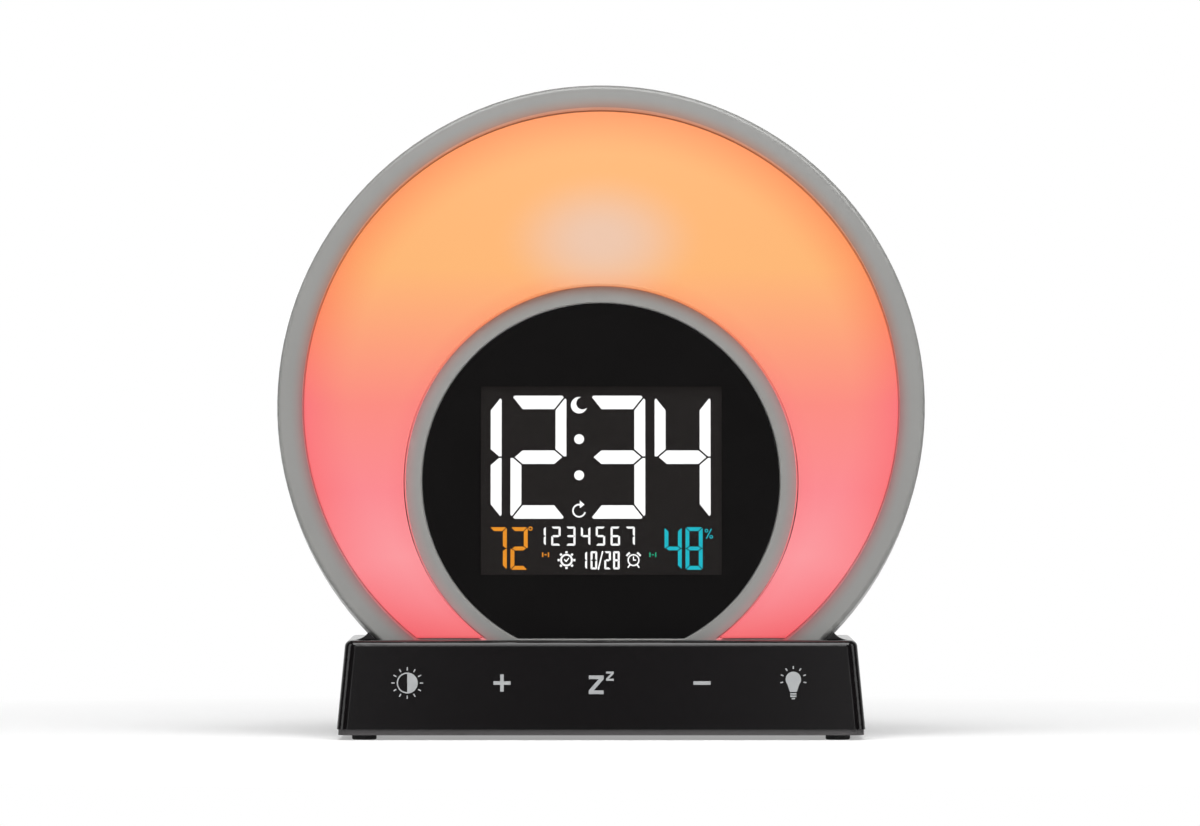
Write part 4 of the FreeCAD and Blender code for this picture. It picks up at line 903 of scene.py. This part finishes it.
@dataclass
class Display:
    """The lit figures on the LCD, in millimetres from the middle of the display."""

    drop: float = 21.4
    glass_front: float = 2.0
    field: Ink = Ink("lcd_field", srgb(214, 198, 192), glow=0.04, body_share=0.03)
    field_middle: Point = (0.2, 0.4)
    field_size: Point = (67.2, 53.0)
    field_thickness: float = 0.03
    figure_lift: float = 0.04
    figure_thickness: float = 0.06
    time: SegmentFigure = SegmentFigure(16.0, 34.9, upright=3.5, level=4.25, gap=0.48, corner=1.3)
    time_places: tuple[float, ...] = (-43.4, -25.4, -3.5, 14.65)
    time_foot: float = -10.4
    colon_x: float = -6.1
    colon_rise: Point = (2.0, 12.1)
    colon_radius: float = 1.37
    crescent_rise: float = 21.6
    arrow_rise: float = -7.9
    reading: SegmentFigure = SegmentFigure(5.0, 12.1, upright=1.3, level=1.3, gap=0.24, corner=0.5)
    reading_foot: float = -24.5
    warmth_places: Point = (-31.05, -25.25)
    degree_place: Point = (-19.6, -12.9)
    damp_places: Point = (17.5, 23.3)
    per_cent_place: Point = (29.9, -14.35)
    day: SegmentFigure = SegmentFigure(2.7, 5.4, upright=0.66, level=0.66, gap=0.1, corner=0.3)
    day_left: float = -18.0
    day_step: float = 4.12
    day_foot: float = -17.7
    date: SegmentFigure = SegmentFigure(1.9, 5.1, upright=0.62, level=0.62, gap=0.08, corner=0.25)
    date_places: tuple[float, ...] = (-5.75, -2.95, 0.85, 3.3)
    date_foot: float = -24.3
    slash: tuple[Point, Point] = ((-0.75, -24.2), (0.4, -19.4))
    sun_place: Point = (-9.6, -21.7)
    bell_clock: ClockSign = ClockSign(1.5, 0.36, hands=(0.9, 0.6), hand_line=0.26,
                                      bells=(1.5, 1.65, 1.3), segments=28)
    bell_place: Point = (9.0, -21.7)
    alarm_places: Point = (-15.4, 14.35)
    alarm_rise: float = -20.2

    def plane(self, lift: float) -> Matrix:
        """The sheet on the LCD's front, lifted off it by some millimetres."""
        place = Matrix.Translation(Vector((0.0, self.glass_front - lift, -self.drop)) * MM)
        return HEAD @ place @ Matrix.Rotation(math.radians(90), 4, "X")

    def build(self) -> list[bpy.types.Object]:
        """Make the field and every figure and sign on it.

        Returns:
            The finished pieces.
        """
        board = FlatWork("lcd_field", self.plane(0.0), self.field_thickness)
        board.bar(*self.field_middle, *self.field_size)
        pieces = [board.finish(self.field.make(), slot="lcd")]
        inks = {glow: Ink(f"figure_{glow.name.lower()}", *glow.value).make() for glow in Glow}
        for name, glow, draw in (("time_figures", Glow.WHITE, self.draw_time),
                                 ("small_white_figures", Glow.WHITE, self.draw_small),
                                 ("temperature_figures", Glow.ORANGE, self.draw_warmth),
                                 ("humidity_figures", Glow.TEAL, self.draw_damp),
                                 ("alarm_two_mark", Glow.GREEN, self.draw_second_alarm)):
            work = FlatWork(name, self.plane(self.figure_lift), self.figure_thickness)
            draw(work)
            pieces.append(work.finish(inks[glow], slot="led_yellow"))
        return pieces

    def draw_time(self, work: FlatWork) -> None:
        """The four tall figures and the colon.

        Args:
            work: The sheet.
        """
        self.time.draw(work, "1234", self.time_places, self.time_foot)
        for rise in self.colon_rise:
            work.disc(self.colon_x, rise, self.colon_radius)

    def draw_small(self, work: FlatWork) -> None:
        """Crescent, turning arrow, days 1 to 7, date, wake-up sun and alarm clock.

        Args:
            work: The sheet.
        """
        work.moon(self.colon_x, self.crescent_rise, radius=2.3, hollow=1.75, apart=1.1, turn=30)
        work.arc(self.colon_x, self.arrow_rise, radius=1.7, width=0.42, start=75, turn=270,
                 segments=32)
        work.polygon([(0.2, 2.8), (0.2, 0.7), (1.5, 1.7)], self.colon_x, self.arrow_rise)
        days = [self.day_left + self.day_step * day for day in range(7)]
        self.day.draw(work, "1234567", days, self.day_foot)
        self.date.draw(work, "1028", self.date_places, self.date_foot)
        work.stroke(self.slash, width=0.36)
        self.draw_wake_sun(work)
        self.draw_bell_clock(work)

    def draw_wake_sun(self, work: FlatWork) -> None:
        """A small clock face in a ring of rays.

        Args:
            work: The sheet.
        """
        x, y = self.sun_place
        work.arc(x, y, radius=1.5, width=0.5, segments=28)
        work.stroke([(-0.55, 0.15), (-0.1, -0.35), (0.6, 0.5)], 0.3, x, y)
        work.rays(x, y, reach=2.18, size=(0.56, 0.62), count=8, step=45)

    def draw_bell_clock(self, work: FlatWork) -> None:
        """A twin-bell clock on two feet.

        Args:
            work: The sheet.
        """
        x, y = self.bell_place
        self.bell_clock.draw(work, x, y)
        for side in (-1, 1):
            work.stroke([(side * 1.0, -1.3), (side * 1.5, -2.0)], 0.34, x, y)

    def draw_warmth(self, work: FlatWork) -> None:
        """Temperature in orange, its degree ring and the first alarm's mark.

        Args:
            work: The sheet.
        """
        self.reading.draw(work, "72", self.warmth_places, self.reading_foot)
        work.arc(*self.degree_place, radius=0.45, width=0.26, segments=16)
        self.draw_alarm(work, self.alarm_places[0])

    def draw_damp(self, work: FlatWork) -> None:
        """Humidity in teal with its per cent sign.

        Args:
            work: The sheet.
        """
        self.reading.draw(work, "48", self.damp_places, self.reading_foot)
        x, y = self.per_cent_place
        work.stroke([(-0.65, -1.25), (0.65, 1.25)], 0.28, x, y)
        for side in (-1, 1):
            work.arc(x + side * 0.65, y - side * 0.85, radius=0.38, width=0.24, segments=14)

    def draw_second_alarm(self, work: FlatWork) -> None:
        """The second alarm's small mark."""
        self.draw_alarm(work, self.alarm_places[1])

    def draw_alarm(self, work: FlatWork, x: float) -> None:
        """An alarm's mark: a short bar between two posts.

        Args:
            work: The sheet.
            x: Its middle.
        """
        work.bar(x, self.alarm_rise, width=0.6, height=0.3)
        for side in (-1, 1):
            work.bar(x + side * 0.8, self.alarm_rise, width=0.34, height=1.3)


@dataclass
class TouchPrint:
    """The five signs printed over the touch spots on the base's front wall, in millimetres."""

    # The signs are print; the ink's faint glow is painted light that brightens them.
    ink: Ink = Ink("icon_print_grey", srgb(140, 142, 143), glow=0.15)
    wall_front: float = -34.0
    wall_foot: float = 3.0
    rise: float = 12.86
    sun_x: float = -53.5
    sun_radius: float = 2.72
    sun_fill: float = 2.56
    plus_x: float = -27.35
    sleep_x: float = -0.1
    minus_x: float = 27.85
    lamp_x: float = 53.06
    lamp_lift: float = 1.0
    lamp_radius: float = 2.14
    lamp_neck: Point = (0.95, -3.45)
    lamp_collars: tuple[tuple[float, float, float], ...] = ((3.0, 1.7, 0.45), (3.65, 1.7, 0.45),
                                                            (4.3, 0.9, 0.4))
    arm: float = 4.75
    line: float = 0.98
    zigzags: tuple[Zigzag, Zigzag] = (Zigzag(-1.24, -0.49, wide=4.09, tall=5.15, line=1.02),
                                      Zigzag(2.53, 1.88, wide=2.13, tall=2.53, line=0.56))

    def build(self) -> list[bpy.types.Object]:
        """Make the printed signs as one piece.

        Returns:
            The finished piece.
        """
        foot = Matrix.Translation(Vector((0.0, self.wall_front, self.wall_foot)) * MM)
        wall = foot @ Matrix.Rotation(math.radians(90) - DRAFT, 4, "X")
        work = FlatWork("touch_signs", wall, PRINT_THICKNESS)
        self.draw_sun(work)
        self.draw_plus_and_minus(work)
        for zigzag in self.zigzags:
            zigzag.draw(work, self.sleep_x, self.rise)
        self.draw_lamp(work)
        return [work.finish(self.ink.make(), slot="board_white")]

    def draw_sun(self, work: FlatWork) -> None:
        """A sun with its right half filled.

        Args:
            work: The sheet.
        """
        work.arc(self.sun_x, self.rise, self.sun_radius, width=0.36)
        work.polygon(around(self.sun_fill, -90, 90, 12), self.sun_x, self.rise)
        work.rays(self.sun_x, self.rise, reach=3.93, size=(0.9, 0.34), count=12, step=30)

    def draw_plus_and_minus(self, work: FlatWork) -> None:
        """The two bars across and the plus sign's two uprights.

        Args:
            work: The sheet.
        """
        for x in (self.plus_x, self.minus_x):
            work.bar(x, self.rise, self.arm, self.line)
        for side in (-1, 1):
            work.bar(self.plus_x, self.rise + side * (self.arm + self.line) / 4, self.line,
                     (self.arm - self.line) / 2)

    def draw_lamp(self, work: FlatWork) -> None:
        """A lit bulb with seven rays.

        Args:
            work: The sheet.
        """
        globe = self.rise + self.lamp_lift
        neck, drop = self.lamp_neck
        outline = [(neck, drop)] + around(self.lamp_radius, -40, 220, 13) + [(-neck, drop)]
        work.polygon(outline, self.lamp_x, globe)
        for below, width, height in self.lamp_collars:
            work.bar(self.lamp_x, self.rise - below, width, height)
        work.rays(self.lamp_x, globe, reach=3.3, size=(0.76, 0.34), count=7, step=35, start=-15)


@dataclass
class RearMarks:
    """Small printed signs over the four rear keys, in millimetres in the head's frame."""

    ink: Ink = Ink("rear_mark_print", srgb(226, 226, 224), glow=0.0)
    back: float = 38.0
    rise: float = 9.0
    step: float = 16.0
    alarm: ClockSign = ClockSign(2.0, 0.4, hands=(1.2, 0.9), hand_line=0.34, bells=(1.9, 2.2, 1.6))
    clock: ClockSign = ClockSign(2.2, 0.4, hands=(1.3, 1.0), hand_line=0.36)
    horn: tuple[Point, ...] = ((-2.4, -0.8), (-1.2, -0.8), (0.2, -2.0), (0.2, 2.0), (-1.2, 0.8),
                               (-2.4, 0.8))
    horn_waves: Point = (1.2, 2.2)
    sun_radius: float = 1.15

    def build(self) -> list[bpy.types.Object]:
        """Make the signs as one piece.

        Returns:
            The finished piece.
        """
        turn = Matrix.Rotation(math.pi, 4, "Z") @ Matrix.Rotation(math.pi / 2, 4, "X")
        cover = HEAD @ Matrix.Translation((0, self.back * MM, 0)) @ turn
        work = FlatWork("rear_key_signs", cover, PRINT_THICKNESS)
        alarm, clock, sound, sun = (-(place - 1.5) * self.step for place in range(4))
        self.alarm.draw(work, alarm, self.rise)
        self.clock.draw(work, clock, self.rise)
        work.polygon(self.horn, sound, self.rise)
        for reach in self.horn_waves:
            work.arc(sound + 0.4, self.rise, reach, width=0.36, start=-45, turn=90, segments=14)
        work.disc(sun, self.rise, self.sun_radius, 28)
        work.rays(sun, self.rise, reach=2.15, size=(0.9, 0.36), count=8, step=45)
        return [work.finish(self.ink.make(), slot="board_white")]


@dataclass(frozen=True)
class SoftBox:
    """One soft box of the studio, in metres and watts."""

    name: str
    place: tuple[float, float, float]
    size: Point
    power: float

    def build(self, aim: Vector) -> None:
        """Hang the lamp.

        Args:
            aim: The place that it points at.
        """
        data = bpy.data.lights.new(self.name, "AREA")
        data.shape = "RECTANGLE"
        data.size, data.size_y = self.size
        data.energy = self.power
        lamp = in_scene(self.name, data)
        lamp.location = self.place
        lamp.rotation_euler = (aim - Vector(self.place)).to_track_quat("-Z", "Y").to_euler()


@dataclass
class Studio:
    """Floor, soft lamps and the long-lens camera at the photo's angle."""

    image_width: float = 1200.0
    disc_pixels: float = 649.0
    disc_width: float = 0.180
    distance: float = 2.6
    elevation: float = math.radians(0.1)
    aim: Vector = field(default_factory=lambda: Vector((-0.0003, -0.020, 0.0903)))
    sensor: float = 36.0
    floor_half: float = 4.0
    floor_tones: Point = (0.91, 0.93)
    floor_fade: Point = (0.12, 0.36)
    floor_share: float = 0.35
    surround: float = 0.16
    mirrored: float = 0.08
    backdrop: float = 0.9
    backdrop_edge: Point = (0.3, 0.75)
    lamps: tuple[SoftBox, ...] = (
        SoftBox("lamp_over", (0.0, -0.5, 0.78), (0.8, 0.6), 10.5),
        SoftBox("lamp_left", (-1.05, -0.45, 0.5), (0.5, 0.9), 3.0),
        SoftBox("lamp_right", (1.05, -0.45, 0.5), (0.5, 0.9), 3.0),
        SoftBox("lamp_front", (0.0, -2.3, 1.25), (0.5, 0.3), 3.0),
        SoftBox("lamp_wing_left", (-0.38, -2.3, 0.45), (0.4, 0.4), 1.0),
        SoftBox("lamp_wing_right", (0.37, -2.3, 0.45), (0.4, 0.4), 1.2))

    def build(self) -> None:
        """Make the whole studio."""
        self.floor()
        self.world()
        self.camera()
        for lamp in self.lamps:
            lamp.build(self.aim)

    def floor(self) -> None:
        """A wide pale floor that keeps the clock's shadow and fades into white."""
        paper = Surface("studio_floor_paper")
        pale, paler = (scaled(WHITE, tone) for tone in self.floor_tones)
        paper.set(Base_Color=paper.drift(paper.noise(300.0), pale, paler), Roughness=0.9)
        far = paper.remap(paper.length(paper.place), *self.floor_fade, self.floor_share, 1.0)
        rays = paper.add("LightPath", {})
        seen = paper.calc("MAXIMUM", rays["Is Camera Ray"], rays["Is Glossy Ray"])
        seen = paper.calc("MAXIMUM", seen, rays["Is Transmission Ray"])
        white = paper.add("Emission", {})["Emission"]
        blend = paper.add("MixShader", {0: paper.calc("MULTIPLY", far, seen),
                                        1: paper.body.outputs["BSDF"], 2: white})
        paper.fill(paper.output.inputs["Surface"], blend["Shader"])
        shape = bmesh.new()
        bmesh.ops.create_grid(shape, x_segments=1, y_segments=1, size=self.floor_half)
        floor = as_mesh("studio_floor", shape, paper.material)

    def world(self) -> None:
        """A soft surround: white to the eye, dim to the clock, dimmer still in its reflections."""
        world = bpy.data.worlds.new("studio_surround")
        bpy.context.scene.world = world
        world.use_nodes = True
        nodes = Nodes(world.node_tree)
        rays = nodes.add("LightPath", {})
        way = nodes.split(nodes.add("TexCoord", {})["Generated"])
        level = nodes.remap(way["Y"], *self.backdrop_edge, self.mirrored, self.backdrop)
        level = nodes.between(rays["Is Glossy Ray"], self.surround, level)
        level = nodes.between(rays["Is Camera Ray"], level, 1.0)
        back = nodes.tree.nodes["Background"]
        nodes.fill(back.inputs["Strength"], level)
        nodes.fill(back.inputs["Color"], WHITE)

    def camera(self) -> None:
        """The camera, level with the clock's middle and a touch above it."""
        data = bpy.data.cameras.new("photo_camera")
        frame_width = self.disc_width * self.image_width / self.disc_pixels
        data.sensor_width = self.sensor
        data.lens = self.sensor * self.distance / frame_width
        camera = in_scene("photo_camera", data)
        away = Vector((0.0, -math.cos(self.elevation), math.sin(self.elevation)))
        camera.location = self.aim + away * self.distance
        camera.rotation_euler = (-away).to_track_quat("-Z", "Y").to_euler()
        bpy.context.scene.camera = camera


def dress_nodes() -> None:
    """Give each CAD node its finish."""
    for finish, names in WEARERS:
        material = finish.make()
        for name in names:
            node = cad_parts[name]
            node.data.materials.clear()
            node.data.materials.append(material)
            for polygon in node.data.polygons:
                polygon.material_index = 0
            log.info("node %s wears %s", name, material.name)


def corners(box: tuple) -> list[list[float]]:
    """A box as plain lists of numbers."""
    return [[float(number) for number in corner] for corner in box]


def main() -> None:
    """Build the dressed clock and its studio."""
    logging.basicConfig(level=logging.INFO, format="%(message)s")
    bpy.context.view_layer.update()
    bpy.context.scene.view_settings.view_transform = "Standard"
    dress_nodes()
    for part in (Display(), TouchPrint(), RearMarks()):
        for piece in part.build():
            log.info("piece %s: %d faces", piece.name, len(piece.data.polygons))
    Studio().build()


if __name__ == "__main__":
    main()
